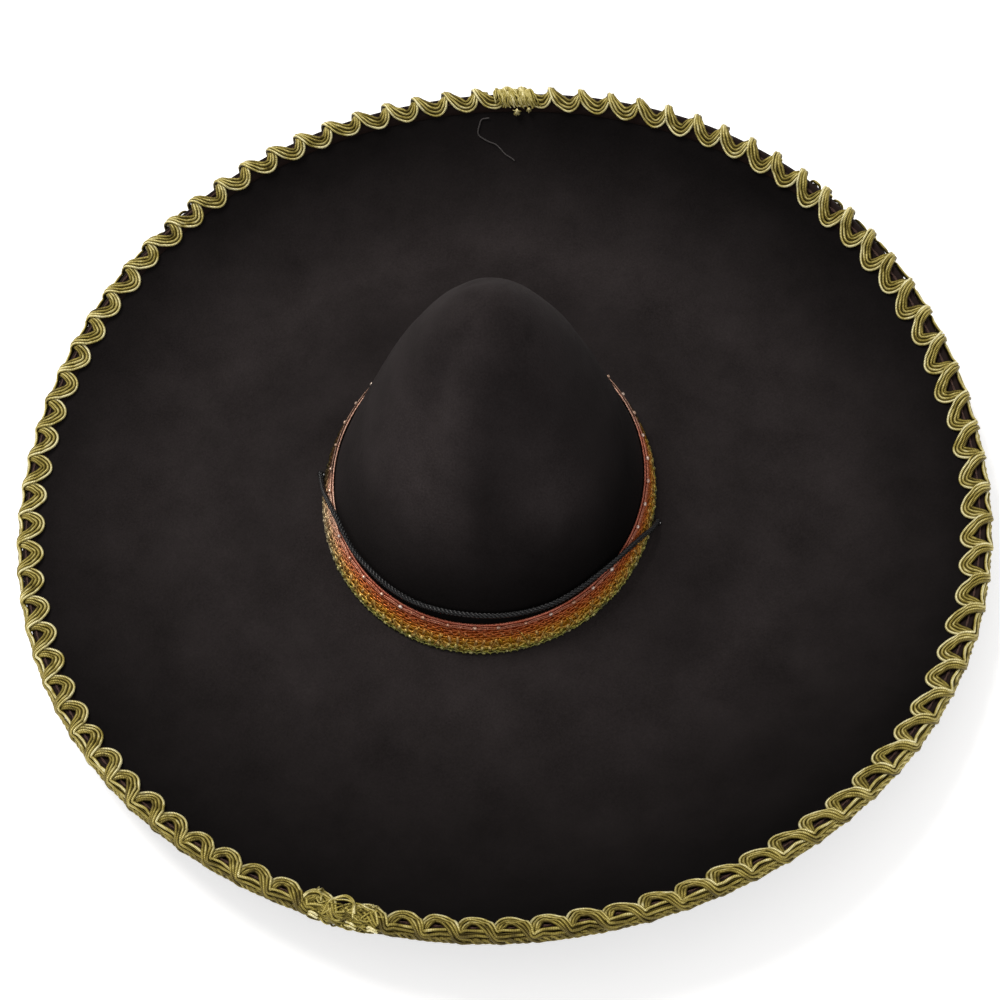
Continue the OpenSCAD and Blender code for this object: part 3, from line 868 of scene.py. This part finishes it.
# The braid is two flat ribbons of cords that cross at a knot between each two loops. Over two
# loops a ribbon goes: share of the pitch, distance in from the edge, height over its neighbour,
# and how far its cords spread
RIBBON_STEPS = [
    (0.0, 0.2, 0.0, 0.6), (0.04, 3.8, 0.1, 0.8), (0.10, 7.0, 0.2, 1.0), (0.22, 9.6, 0.3, 1.0),
    (0.39, 10.2, 0.3, 1.0), (0.58, 8.6, 0.5, 1.0), (0.77, 5.6, 0.9, 0.9), (0.92, 2.4, 1.5, 0.75),
    (1.03, -0.4, 1.8, 0.65), (1.15, -1.6, 1.3, 0.85), (1.32, -1.6, 0.6, 1.0), (1.5, -1.3, 0.4, 1.05),
    (1.7, -1.5, 0.3, 1.0), (1.88, -1.6, 0.1, 0.8),
]
CORD_OFFSETS = (-3.7, -2.1, -0.05, 2.0)
CORD_TONES = (0.42, 0.62, 0.7, 1.0)
GROOVE_OFFSETS = (-2.9, -1.05, 0.95)
GIMP_D = 1.75
JOIN_D = 1.2


def reach_at(phi, w):
    """The braid isn't centred on the edge all round: it reaches in further at the sides, and
    further under the edge at the back."""
    front, back = at_front(phi) ** 2, at_back(phi) ** 2
    inner = 1.0 + 0.2 * cosd(2 * phi) + 0.07 * cosd(phi) + 0.24 * front
    outer = 1.0 + np.where(w > -0.9, 4.5, 8.5) * back - 0.9 * front
    return w * np.where(w > 0, inner - 0.1 * back, outer)


def ribbon_centre(start, stop, seed, first):
    """Middle line of one ribbon in the unrolled edge: angle, distance in from the edge, lift, spread."""
    draw = np.random.default_rng(seed)
    count = int(round((stop - start) / PITCH))
    pitch = (stop - start) / count
    points = []
    for k in range(first - 2, count + 2, 2):
        reach = 1 + draw.normal(0, 0.05, 2)
        slip = draw.normal(0, 0.025, 2)
        for share, w, lift, spread in RIBBON_STEPS:
            part = int(share > 0.98)
            bend = min(1, abs(w) / 6)
            at = k + share + slip[part] * bend
            points.append((at, w * (1 + (reach[part] - 1) * bend) + draw.normal(0, 0.12), lift, spread))
    points = np.array(points)
    inside = (points[:, 0] > -0.1) & (points[:, 0] < count + 0.1)
    phi = start + points[inside, 0] * pitch
    w, lift, spread = points[inside, 1:].T
    lift = lift * (1 + 0.4 * at_back(phi) ** 2 * (np.abs(w) < 2.5))
    return phi, reach_at(phi, w), lift, spread


def front_shade(phi, w):
    """At the front the braid's outer side faces away from the light."""
    return 1 - 0.42 * at_front(phi) ** 3 * np.clip((5 - w) / 4, 0.15, 1)


def trim_tube(phi, w, lift, radius, tone, sides=7):
    """Cord on the unrolled edge, with a tone for each point: bright on top and dark in the grooves, as
    painted light and shade.
    """
    path = edge_place(phi, w, lift)
    out = unit(edge_place(phi, w, lift + 0.5) - path)
    points, faces, uvs = tube_parts(path, radius, sides)
    ring = points.reshape(len(path), sides, 3) - path[:, None]
    up = np.einsum("ijk,ik->ij", unit(ring), out)
    # Painted light on the side facing up off the brim, painted shade towards the brim
    values = np.reshape(tone, (-1, 1)) * (0.12 + 0.88 * np.clip(0.35 + 0.65 * up, 0, 1) ** 1.4)
    return (points, faces, uvs), values.ravel()


def slow_noise(draw, n, step):
    knots = np.arange(0, n + step, step)
    return np.interp(np.arange(n), knots, draw.normal(0, 1, len(knots)))


def ribbon_parts(start, stop, seed, first, raised=0.0, narrow=1.0):
    """The cords of one ribbon side by side, with thinner threads between them, dark as painted shade in the
    grooves.
    """
    draw = np.random.default_rng(seed + 100)
    phi, w, lift, spread = ribbon_centre(start, stop, seed, first)
    steps = np.stack([phi * math.pi / 180 * RIM_RADIUS, w * narrow, lift + raised, 8 * spread], -1)
    line = resample(smooth_path(steps, 6), 0.8)
    spread = line[:, 3] / 8 * (1 - 0.2 * np.maximum(0, np.sin(line[:, 0] / RIM_RADIUS)) ** 2)
    along = unit(np.gradient(line[:, :2], axis=0))
    side = np.stack([-along[:, 1], along[:, 0]], -1)
    n = len(line)
    shade = front_shade(np.degrees(line[:, 0] / RIM_RADIUS), line[:, 1])
    parts = []

    def put(across, high, radius, tone, sides):
        x, y = line[:, 0] + side[:, 0] * across, line[:, 1] + side[:, 1] * across
        parts.append(trim_tube(np.degrees(x / RIM_RADIUS), y, high, radius, tone, sides))

    for k, offset in enumerate(CORD_OFFSETS):
        across = offset * spread + (0.13 + 0.25 * (line[:, 1] < 1)) * slow_noise(draw, n, 7)
        high = line[:, 2] + 0.12 * slow_noise(draw, n, 7) + (0.9 * (1 - spread) if k == 2 else 0)
        tone = CORD_TONES[k] * (1 + 0.22 * slow_noise(draw, n, 5)) * shade
        put(across, high, GIMP_D / 2 * (1 + 0.05 * slow_noise(draw, n, 4)), tone, 7)
    # Thin threads sunk in the grooves between the cords, at a low tone: a dark fill, painted shade
    for offset in GROOVE_OFFSETS:
        put(offset * spread, line[:, 2] - 0.5, 0.45, np.full(n, 0.28), 5)
    return parts


def heading_parts(start, stop, seed):
    """Three cords twisted along the outer side of the edge, behind the knots, and under it at the back."""
    draw = np.random.default_rng(seed)
    phi = np.arange(start, stop, 0.16)
    n = len(phi)
    parts = []
    for k in range(3):
        a = 360 * phi / PITCH * 1.5 + 120 * k
        w = -3.2 + 1.3 * cosd(a) - 6.0 * at_back(phi) ** 0.7 + 0.25 * slow_noise(draw, n, 7)
        lift = 0.45 + 0.4 * sind(a) + 0.1 * slow_noise(draw, n, 9)
        tone = 0.62 * (1 + 0.25 * slow_noise(draw, n, 6)) * front_shade(phi, w)
        parts.append(trim_tube(phi, w, lift, 0.8, tone))
    return parts


def make_trim(name, parts, material, node):
    piece = make_object(name, join_parts([part for part, _ in parts]), material, "gimp_braid", node)
    # The strand attribute: each cord's tone, with painted light and shade on it
    add_attribute(piece, "strand", np.concatenate([tone for _, tone in parts]))


def make_braid(gold):
    """The braid's two lengths, each ending a degree short of the joins."""
    gap = 1.0
    lengths = {
        "left": (JOIN_BACK + gap, JOIN_FRONT - gap, 21),
        "right": (JOIN_FRONT - 360 + gap, JOIN_BACK - gap, 22),
    }
    for side, (start, stop, seed) in lengths.items():
        parts = ribbon_parts(start, stop, seed, 0) + ribbon_parts(start, stop, seed + 50, 1)
        parts += heading_parts(start, stop, seed + 70)
        make_trim("gimp_braid_" + side, parts, gold, "edge_braid_" + side)


def loop_run(phi0, steps, seed, offsets, wobble=0.3, thick=JOIN_D, tones=(0.45, 1.0)):
    """Bunched cords through given (angle step, distance in, lift) points near a join."""
    draw = np.random.default_rng(seed)
    parts = []
    for offset in offsets:
        points = [
            (phi0 + a + draw.normal(0, 0.06), w + offset + draw.normal(0, wobble),
             lift + draw.normal(0, 0.15))
            for a, w, lift in steps
        ]
        line = smooth_path(points, 10)
        tone = draw.uniform(*tones) * (1 + 0.25 * slow_noise(draw, len(line), 6))
        parts.append(trim_tube(line[:, 0], line[:, 1], np.maximum(line[:, 2], 0.1), thick / 2, tone))
    return parts


def tuft(phi0, w0, count, seed, length, spread, thick=0.16):
    """Frayed ends: thin threads that fan inwards from a point on the braid and droop to the felt."""
    draw = np.random.default_rng(seed)
    parts = []
    for _ in range(count):
        angle = draw.normal(0, spread)
        reach = length * draw.uniform(0.5, 1.1)
        curl = draw.normal(0, 0.35)
        t = np.linspace(0, 1, 9)
        along = np.sin(np.radians(angle) + curl * t) * reach * t
        inward = np.cos(np.radians(angle) + curl * t) * reach * t
        lift = 1.9 + draw.uniform(0.2, 1.6) * np.sin(t * math.pi) - 1.3 * t
        phi, width = phi0 + np.degrees(along / RIM_RADIUS), np.linspace(thick * 1.5, thick, len(t))
        parts.append(trim_tube(phi, w0 + inward, lift, width, draw.uniform(0.9, 1.4), 5))
    return parts


def lapped_ribbons(start, stop, seed, count, raised):
    """Ribbon ends bunched on top of each other: short runs of the braid, shifted and pressed together."""
    draw = np.random.default_rng(seed)
    parts = []
    for k in range(count):
        a, b = start + draw.uniform(-0.5, 1.2), stop - draw.uniform(-0.5, 1.2)
        parts += ribbon_parts(a, b, seed + 7 * k, k % 2, raised + 0.25 * k, 0.8 + 0.08 * draw.normal())
    return parts


def bunch(phi0, half, seed, count, over, under, slant):
    """A flat bunch of fine cord ends, side by side and slanted over the edge."""
    draw = np.random.default_rng(seed)
    parts = []
    for a in np.linspace(-half, half, count):
        lean, end = slant * draw.uniform(0.5, 1.4), over * draw.uniform(0.85, 1.1)
        run = [(a + lean, end, 0.9), (a + 0.7 * lean, end * 0.7, 1.9), (a + 0.3 * lean, end * 0.3, 2.4),
               (a, -0.5, 2.1), (a - 0.2 * lean, under, 0.8)]
        parts += loop_run(phi0, run, seed + 1 + len(parts), (0,), 0.35, 0.95)
    return parts


def tangle(phi0, half, seed, count, top, low):
    """Short cord ends that lie every way along the edge, over and under each other."""
    draw = np.random.default_rng(seed)
    parts = []
    for k in range(count):
        a, w = draw.uniform(-half, half), draw.uniform(low, top)
        long, rise = draw.uniform(0.8, 2.0), draw.normal(0, 2.0)
        high = draw.uniform(0.6, 2.6)
        run = [(a - long / 2, w - rise / 2, high - 0.4), (a, w + draw.normal(0, 0.8), high),
               (a + long / 2, w + rise / 2, high - 0.4)]
        parts += loop_run(phi0, run, seed + 1 + k, (0,), 0.3, draw.uniform(0.8, 1.3), (0.2, 0.62))
    return parts


def make_joins(gold):
    """The braid's lapped and frayed ends, at the back and at the front left."""
    back = lapped_ribbons(JOIN_BACK - 3.4, JOIN_BACK + 3.4, 31, 1, 0.0)
    back += bunch(JOIN_BACK, 2.3, 41, 44, 7.4, -5.0, -1.2)
    back += bunch(JOIN_BACK - 0.4, 1.8, 241, 10, 6.8, -4.0, 0.6)
    end = [(2.0, -3, 1.2), (2.2, -0.8, 2.8), (2.4, 2, 2.6), (2.2, 5, 1.6)]
    back += loop_run(JOIN_BACK, end, 35, (-0.8, 0.6))
    back += tuft(JOIN_BACK - 0.6, 8.5, 70, 51, 3.2, 20, 0.26)
    back += tuft(JOIN_BACK - 2.3, 8, 50, 52, 2.4, 22, 0.24)
    front = lapped_ribbons(JOIN_FRONT - 5.0, JOIN_FRONT + 4.2, 61, 2, 0.3)
    front += tangle(JOIN_FRONT, 3.8, 300, 130, 4.5, -5.5)
    high_loop = [(-2.1, 2, 1.5), (-1.7, 7.5, 2.0), (-0.6, 11, 2.2), (0.5, 9.5, 2.2), (1.3, 3, 2.2)]
    low_loop = [(-5.0, 3, 1.5), (-4.4, 8.5, 2.0), (-3.6, 9.0, 2.2), (-2.8, 5.0, 2.2)]
    for loop, seed, offsets in ((high_loop, 65, (-2.4, -1.2, 0.0)), (low_loop, 66, (-1.6, 0.0))):
        front += loop_run(JOIN_FRONT, loop, seed, offsets, 0.25, 1.3, (0.65, 1.0))
    for a, seed in ((-3.2, 91), (1.2, 92), (3.6, 93)):
        spot = [(a - 0.55, -1.6, 2.0), (a - 0.2, -1.0, 3.0), (a + 0.2, -1.2, 3.0), (a + 0.55, -2.2, 2.0)]
        front += loop_run(JOIN_FRONT, spot, seed, (-0.9, 0.2), 0.2, 1.5, (1.2, 1.4))
    front += tuft(JOIN_FRONT - 3.8, 8.5, 20, 81, 6.0, 24) + tuft(JOIN_FRONT + 3.0, 8, 14, 82, 4.5, 28)
    make_trim("braid_end_back", back, gold, "braid_join_back")
    make_trim("braid_end_front", front, gold, "braid_join_front")


def make_binding(tape):
    """The tape folded over the felt's edge, and under it round the wire."""
    n = 900
    phi = around(n)
    top, low, t = FELT / 2 + 0.1, -FELT / 2 - 0.1, BINDING_T
    wire_low = -FELT / 2 - 1.75
    profile = [
        (-7, top), (-6.9, top + t), (-4, top + t), (-0.3, top + t), (0.35, top + 0.1), (0.6, 0.4),
        (0.55, -1.2), (0.1, wire_low), (-0.7, wire_low - t), (-2.3, wire_low - t), (-3.3, wire_low + 0.1),
        (-4.4, low - t), (-6.9, low - t), (-7, low),
    ]
    points = np.vstack([trim_point(phi, out + 0.06 * sind(phi * 23), up) for out, up in profile])
    faces = grid_faces(len(profile), n, wrap_rows=True)
    make_object("edge_tape", (points, faces), tape, "binding", "edge_binding")


def make_core(twine):
    """The thin twine of two strands along the edge, inside the braid's loops."""
    n = 1500
    phi = around(n)
    place = -2.0 + 1.1 * np.clip(-cosd(phi), 0, 1) + 0.15 * sind(phi * 13)
    parts = []
    for k in range(2):
        a = phi * 177 + 180 * k
        path = trim_point(phi, place + 0.26 * cosd(a), 2.1 + 0.26 * sind(a))
        parts.append(tube_parts(path, 0.33, 6, closed=True))
    make_object("edge_core_twine", join_parts(parts), twine, "core_cord", "edge_core_cord")


# ---- bands -------------------------------------------------------------------------

BAND_OUT = 0.9
BAND_T = 1.0


def band_point(phi, share, proud):
    """Point on the hat band at a share of its height, proud of its backing."""
    z = BAND_LOW + share * (BAND_HIGH - BAND_LOW)
    return wall_point(phi, z, -BAND_OUT - BAND_T - proud)


def blob(centre, axes):
    """Small rounded bead with three half axes given as vectors."""
    rows, cols = 5, 8
    a = np.pi * np.arange(1, rows) / rows
    b = 2 * np.pi * np.arange(cols) / cols
    ring = np.stack([np.outer(np.sin(a), np.cos(b)), np.outer(np.sin(a), np.sin(b)),
                     np.outer(np.cos(a), np.ones(cols))], -1)
    points = np.vstack([ring.reshape(-1, 3), [[0, 0, 1]], [[0, 0, -1]]]) @ np.asarray(axes) + centre
    faces = grid_faces(rows - 1, cols, flip=True)
    n = (rows - 1) * cols
    faces += fan(0, n, cols) + fan(n - cols, n + 1, cols, flip=True)
    return points, faces, no_uvs(faces)


def bead(phi, share, proud, wide, tall, deep, tilt=0.0):
    p = band_point(phi, share, proud)
    ahead = unit(band_point(phi + 0.5, share, proud) - band_point(phi - 0.5, share, proud))
    up = unit(band_point(phi, share + 0.05, proud) - band_point(phi, share - 0.05, proud))
    out = np.cross(ahead, up)
    c, s = math.cos(tilt), math.sin(tilt)
    return blob(p, [(ahead * c + up * s) * wide / 2, (up * c - ahead * s) * tall / 2, out * deep / 2])


def band_cord(phi, share, proud, radius):
    return tube_parts(band_point(phi, share, proud), radius, 6, closed=True)


BAND_GROUPS = 40  # beads along the band's top edge


def make_hatband(weave):
    """The band's woven face, built on a plain backing, with a height and an amount of painted sparkle for
    each point.
    """
    draw = np.random.default_rng(91)
    tall = BAND_HIGH - BAND_LOW
    groups, step = BAND_GROUPS, 360 / BAND_GROUPS
    parts, heights, painted_sparkles = [], [], []

    def put(part, share, painted_sparkle):
        parts.append(part)
        heights.append(np.full(len(part[0]), share))
        painted_sparkles.append(np.full(len(part[0]), painted_sparkle))

    n = 720
    phi = around(n)
    rows = np.linspace(0.0, 1.0, 15)
    face = [band_point(phi, r, -0.15 + 0.12 * math.sin(r * 40)) for r in rows]
    back = [wall_point(phi, BAND_LOW + r * tall, -BAND_OUT) for r in (1.0, 0.5, 0.0)]
    faces = grid_faces(len(rows) + 3, n, wrap_rows=True, flip=True)
    base = (np.vstack(face + back), faces, no_uvs(faces))
    put(base, np.repeat([*rows, 1.0, 0.5, 0.0], n), 0.0)

    # Ribs: thin cords that run round and dip under the uprights
    for k, share in enumerate((0.40, 0.48, 0.56, 0.64, 0.72, 0.80, 0.88)):
        wave = 0.016 * sind(phi * groups + 90 * k) + 0.006 * sind(phi * 23 + 60 * k)
        proud = 0.35 + 0.28 * sind(phi * groups * 3 + 180 * (k % 2))
        put(band_cord(phi, share + wave, proud, 0.6), share, 0.12)
    for k, share in enumerate((0.10, 0.19, 0.28)):
        wave = 0.02 * sind(phi * groups * 2 + 120 * k)
        proud = 0.3 + 0.3 * cosd(phi * groups * 2 + 180 * k)
        put(band_cord(phi, share + wave, proud, 0.75), share, 0.3)
    # Scalloped pink thread along the top edge, in arches between the beads
    for k, amp in enumerate((0.055, 0.03)):
        arch = np.abs(sind(phi * groups / 2))
        put(band_cord(phi, 0.92 - 0.03 * k + amp * arch, 0.7 + 0.1 * k, 0.45), 0.96 - 0.03 * k, 0.3)
    # Diagonal threads that cross the middle of the band
    for k in range(groups * 2):
        at = step * (k / 2 + draw.normal(0, 0.05))
        lean = step * 0.30 * (1 if k % 2 else -1)
        t = np.linspace(0, 1, 9)
        low, high = 0.12, 0.52 + draw.normal(0, 0.05)
        line = band_point(at + lean * t, low + (high - low) * t, 0.9 + 0.5 * np.sin(t * math.pi))
        put(tube_parts(line, 0.5, 6), 0.25 + 0.1 * (k % 2), 0.45)
    # Uprights: gold loops that stand side by side, with slanted copper stitches above them
    uprights = groups * 3
    for k in range(uprights):
        at = 360 * (k + draw.normal(0, 0.1)) / uprights
        big = draw.uniform(0.8, 1.2)
        put(bead(at, 0.21, 1.0, 2.6, 4.6 * big, 2.2, draw.normal(0, 0.2)), 0.17, draw.uniform(0.2, 0.8))
        middle = bead(at + 0.5, 0.44 + draw.normal(0, 0.02), 0.9, 2.1, 5.6 * big, 2.0, draw.normal(0, 0.25))
        put(middle, 0.36, draw.uniform(0.0, 0.75))
        upper = bead(at + 1.0, 0.7, 0.7, 1.5, 4.2 * big, 1.5, 0.5 + draw.normal(0, 0.15))
        put(upper, 0.62, draw.uniform(0.0, 0.4))
    # Beads along the top edge
    for k in range(groups):
        at = step * k + draw.normal(0, 0.25)
        big = draw.uniform(0.75, 1.05)
        top = bead(at, 0.97, 1.2, 3.0 * big, 2.4 * big, 2.2, draw.normal(0, 0.15))
        put(top, 1.0, draw.uniform(0.95, 1.3))
        put(bead(at + step * 0.5, 0.93, 0.8, 2.0, 1.4, 1.3), 0.93, 0.55)
    # Yellow-green beads and loops along the lower edge
    low_beads = groups * 5 // 2
    for k in range(low_beads):
        at = 360 * (k + draw.normal(0, 0.12)) / low_beads
        big = draw.uniform(0.8, 1.25)
        share = 0.07 + draw.normal(0, 0.015)
        low = bead(at, share, 0.9, 2.5 * big, 2.0 * big, 1.8 * big, draw.normal(0, 0.3))
        put(low, 0.05, 0.85 if k % 3 == 0 else 0.5)
    phi = around(2400)
    wind = phi * groups * 4
    put(band_cord(phi + 0.55 * sind(wind), 0.035 + 0.03 * cosd(wind), 0.8, 0.42), 0.04, 0.35)
    shape = join_parts(parts)
    band = make_object("hat_band_weave", shape, weave, "band_weave", "hatband")
    # Painted shade and painted glare from band_light; in the painted shade the top edge is painted less dark
    # and paler
    height, (dim, painted_glare) = np.concatenate(heights), band_light(shape[0])
    add_attribute(band, "height", height)
    add_attribute(band, "painted_sparkle", np.concatenate(painted_sparkles))
    add_attribute(band, "dim", dim * np.clip((0.99 - height) / 0.04, 0.25, 1))
    add_attribute(band, "painted_glare", np.maximum(painted_glare, 0.75 * dim * (height > 0.9)))


def band_light(points):
    """Where the band is in the crown's shade, at the back and far left, and where it glares, at the left."""
    phi = np.degrees(np.arctan2(points[:, 1], points[:, 0]))
    back = np.clip((sind(phi - 8) - 0.18) / 0.2, 0, 1)
    left = np.clip((186 - phi % 360) / 6, 0, 1) * (phi % 360 > 90)
    return 0.84 * np.maximum(back, left), 0.75 * np.exp(-((turn(phi - 194) / 17) ** 2))


LAP_FROM, LAP_TO = 93, 107  # the band's lapped end, in degrees


def make_band_join(weave):
    """The band's end, lapped over its start at the back, with a turned edge and a few stitches."""
    draw = np.random.default_rng(97)
    low, high = BAND_LOW + 1, BAND_HIGH - 1
    cols, rows = 40, 16
    phi = np.linspace(LAP_FROM, LAP_TO, cols)
    share = np.linspace(0, 1, rows)
    fold = 0.55 * (1 - np.clip(np.minimum(phi - LAP_FROM, LAP_TO - phi) / 0.6, 0, 1) ** 0.5)
    outer = [wall_point(phi, low + s * (high - low), -4.1 - 0.18 * math.sin(s * 60) + fold) for s in share]
    inner = [wall_point(phi, low + s * (high - low), -3.0) for s in share]
    faces = slab_faces(rows, cols, flip=True)
    parts = [(np.vstack(outer + inner), faces, no_uvs(faces))]
    heights = [np.tile(np.repeat(share, cols), 2)]
    for k in range(7):
        s = 0.08 + 0.14 * k
        line = np.array([wall_point(105.3 + a, low + (s + b) * (high - low), -4.3 - c) for a, b, c in
                         ((-0.5, 0, -0.2), (0.0, 0.01, 0.25), (0.8, 0.03, 0.25), (1.3, 0.04, -0.3))])
        parts.append(tube_parts(smooth_path(line, 4), 0.25, 6))
        heights.append(np.full(len(parts[-1][0]), s + draw.normal(0, 0.01)))
    heights = np.concatenate(heights)
    lap = make_object("hat_band_lap", join_parts(parts), weave, "band_weave", "hatband_join")
    add_attribute(lap, "height", heights)
    # The lap gets some painted sparkle and painted shade, and no painted glare
    for name, value in (("painted_sparkle", 0.3), ("dim", 0.3), ("painted_glare", 0.0)):
        add_attribute(lap, name, np.full(len(heights), value))


STITCH, WALL_RADIUS = 3.0, 95
# Steps of one stitch: half lengths along it, and how deep it sinks
STITCH_STEPS = ((-1.0, 0.9), (-0.75, 0.1), (0.0, 0.0), (0.75, 0.1), (1.0, 0.9))


def stitch_row(name, count, z, inset, material, node):
    """Separate stitches round the wall, each with its ends sunk into the felt or leather."""
    half = math.degrees(STITCH / 2 / WALL_RADIUS)
    sink = 0.25 if inset < 0 else -0.25
    parts = []
    for k in range(count):
        phi = 360 * (k + 0.5) / count
        line = np.array([wall_point(phi + a * half, z, inset + sink * b) for a, b in STITCH_STEPS])
        parts.append(tube_parts(smooth_path(line, 3), 0.27, 6))
    make_object(name, join_parts(parts), material, "black_thread", node)


def make_sweatband(leather, thread):
    """The leather band inside the opening, wavy towards its free upper edge, and its sewing."""
    n = 480
    phi = around(n)
    low, high = GAP + 0.2, SWEAT_TOP
    face = SWEAT_IN + SWEAT_THICK
    ripple = 0.25 * sind(phi * 7 + 20) + 0.15 * sind(phi * 17)
    profile = [
        (low, SWEAT_IN), (low + 6, SWEAT_IN), (high - 8, SWEAT_IN), (high - 0.5, SWEAT_IN),
        (high, SWEAT_IN + 0.35),
        (high, face - 0.35), (high - 0.5, face), (high - 1.5, face - 0.1), (high - 3, face - 0.1),
        (high - 4, face + 0.02), (high - 8, face), (low + 14, face), (low + 9, face), (low + 5, face),
        (low + 3, face - 0.05), (low + 2.2, face - 0.22), (low + 1.4, face - 0.05), (low + 0.5, face),
        (low, face - 0.4),
    ]
    rows = []
    for z, inset in profile:
        free = np.clip((z - low) / (high - low), 0, 1) ** 2
        rows.append(wall_point(phi, z, inset + ripple * free))
    faces = grid_faces(len(profile), n, wrap_rows=True)
    make_object("sweat_leather", (np.vstack(rows), faces), leather, "sweatband", "sweatband")
    stitch_row("sweatband_thread", 72, GAP + 2.5, face + 0.3, thread, "sweatband_stitching")


def make_seam_tape(tape):
    """The tape over the sweatband's butt joint at the back."""
    cols, rows = 14, 30
    face = SWEAT_IN + SWEAT_THICK
    across = np.linspace(86, 94, cols)
    bulge = 0.28 * np.sin(np.linspace(0, math.pi, cols)) ** 0.5
    zs = np.linspace(GAP + 3.6, SWEAT_TOP - 1, rows)
    front = [wall_point(across, z, face + 0.35 + bulge + 0.05 * math.sin(z * 6)) for z in zs]
    rear = [wall_point(across, z, face + 0.12) for z in zs]
    shape = np.vstack(front + rear), slab_faces(rows, cols)
    make_object("seam_tape_weave", shape, tape, "binding", "sweatband_seam_tape")


def make_knots(satin):
    """Overhand knots under the brim, with the cord's stub in its hole."""
    for side, angle in HOLE_ANGLES.items():
        x, y, _ = hole_place(angle)
        t, r = np.linspace(0, 2 * math.pi, 60)[:-6], 1.15
        knot = np.stack([
            r * (np.sin(t) + r * np.sin(2 * t)), r * (np.cos(t) - r * np.cos(2 * t)), 3.4 - r * np.sin(3 * t),
        ], -1)
        stub = [(0.1, 0, FOOT_Z + 1.2), (0, 0, FOOT_Z - 1), (0, 0, GAP - 1.0), (0.3, 0.2, GAP - 2.4)]
        line = resample(smooth_path([*stub, *knot[4:]], 5), 0.3) + [x, y, 0]
        points, faces, uvs = join_parts([strand_bundle(line, 1.25, 3, 1 / 7.0, 8), tube_parts(line, 0.8, 6)])
        points[:, 2] = np.maximum(points[:, 2], 0.45)
        shape = points, faces, uvs
        make_object("overhand_knot_" + side, shape, satin, "satin_cord", "cord_knot_" + side)


# ---- the hat -------------------------------------------------------------------------

def make_hat():
    make_camera()
    satin = make_cords()
    make_lights()
    make_floor()
    felt = felt_material("black_wool_felt", (0.0205, 0.0165, 0.0165), (0.054, 0.0445, 0.045))
    make_crown(felt)
    make_brim(felt)
    black_tape = tape_material("black_binding_tape", (0.016, 0.008, 0.0062))
    make_binding(black_tape)
    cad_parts["brim_wire"].data.materials.clear()
    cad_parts["brim_wire"].data.materials.append(wire_material())
    make_core(thread_material("brown_core_twine", (0.03, 0.011, 0.007), (0.085, 0.03, 0.014), 1.6, 0.8, 0.1))
    make_braid(metal_thread_material("gold_gimp", GOLD_STOPS))
    make_joins(metal_thread_material("pale_gold_gimp", PALE_STOPS))
    weave = band_material()
    make_hatband(weave)
    make_band_join(weave)
    black = thread_material("black_sewing_thread", (0.006, 0.006, 0.007), (0.03, 0.029, 0.032), 0.8, 0.6, 0.2)
    stitch_row("crown_thread", 60, FOOT_Z + 6, -0.35, black, "crown_stitching")
    make_sweatband(leather_material(), black)
    make_seam_tape(black_tape)
    make_knots(satin)


make_hat()
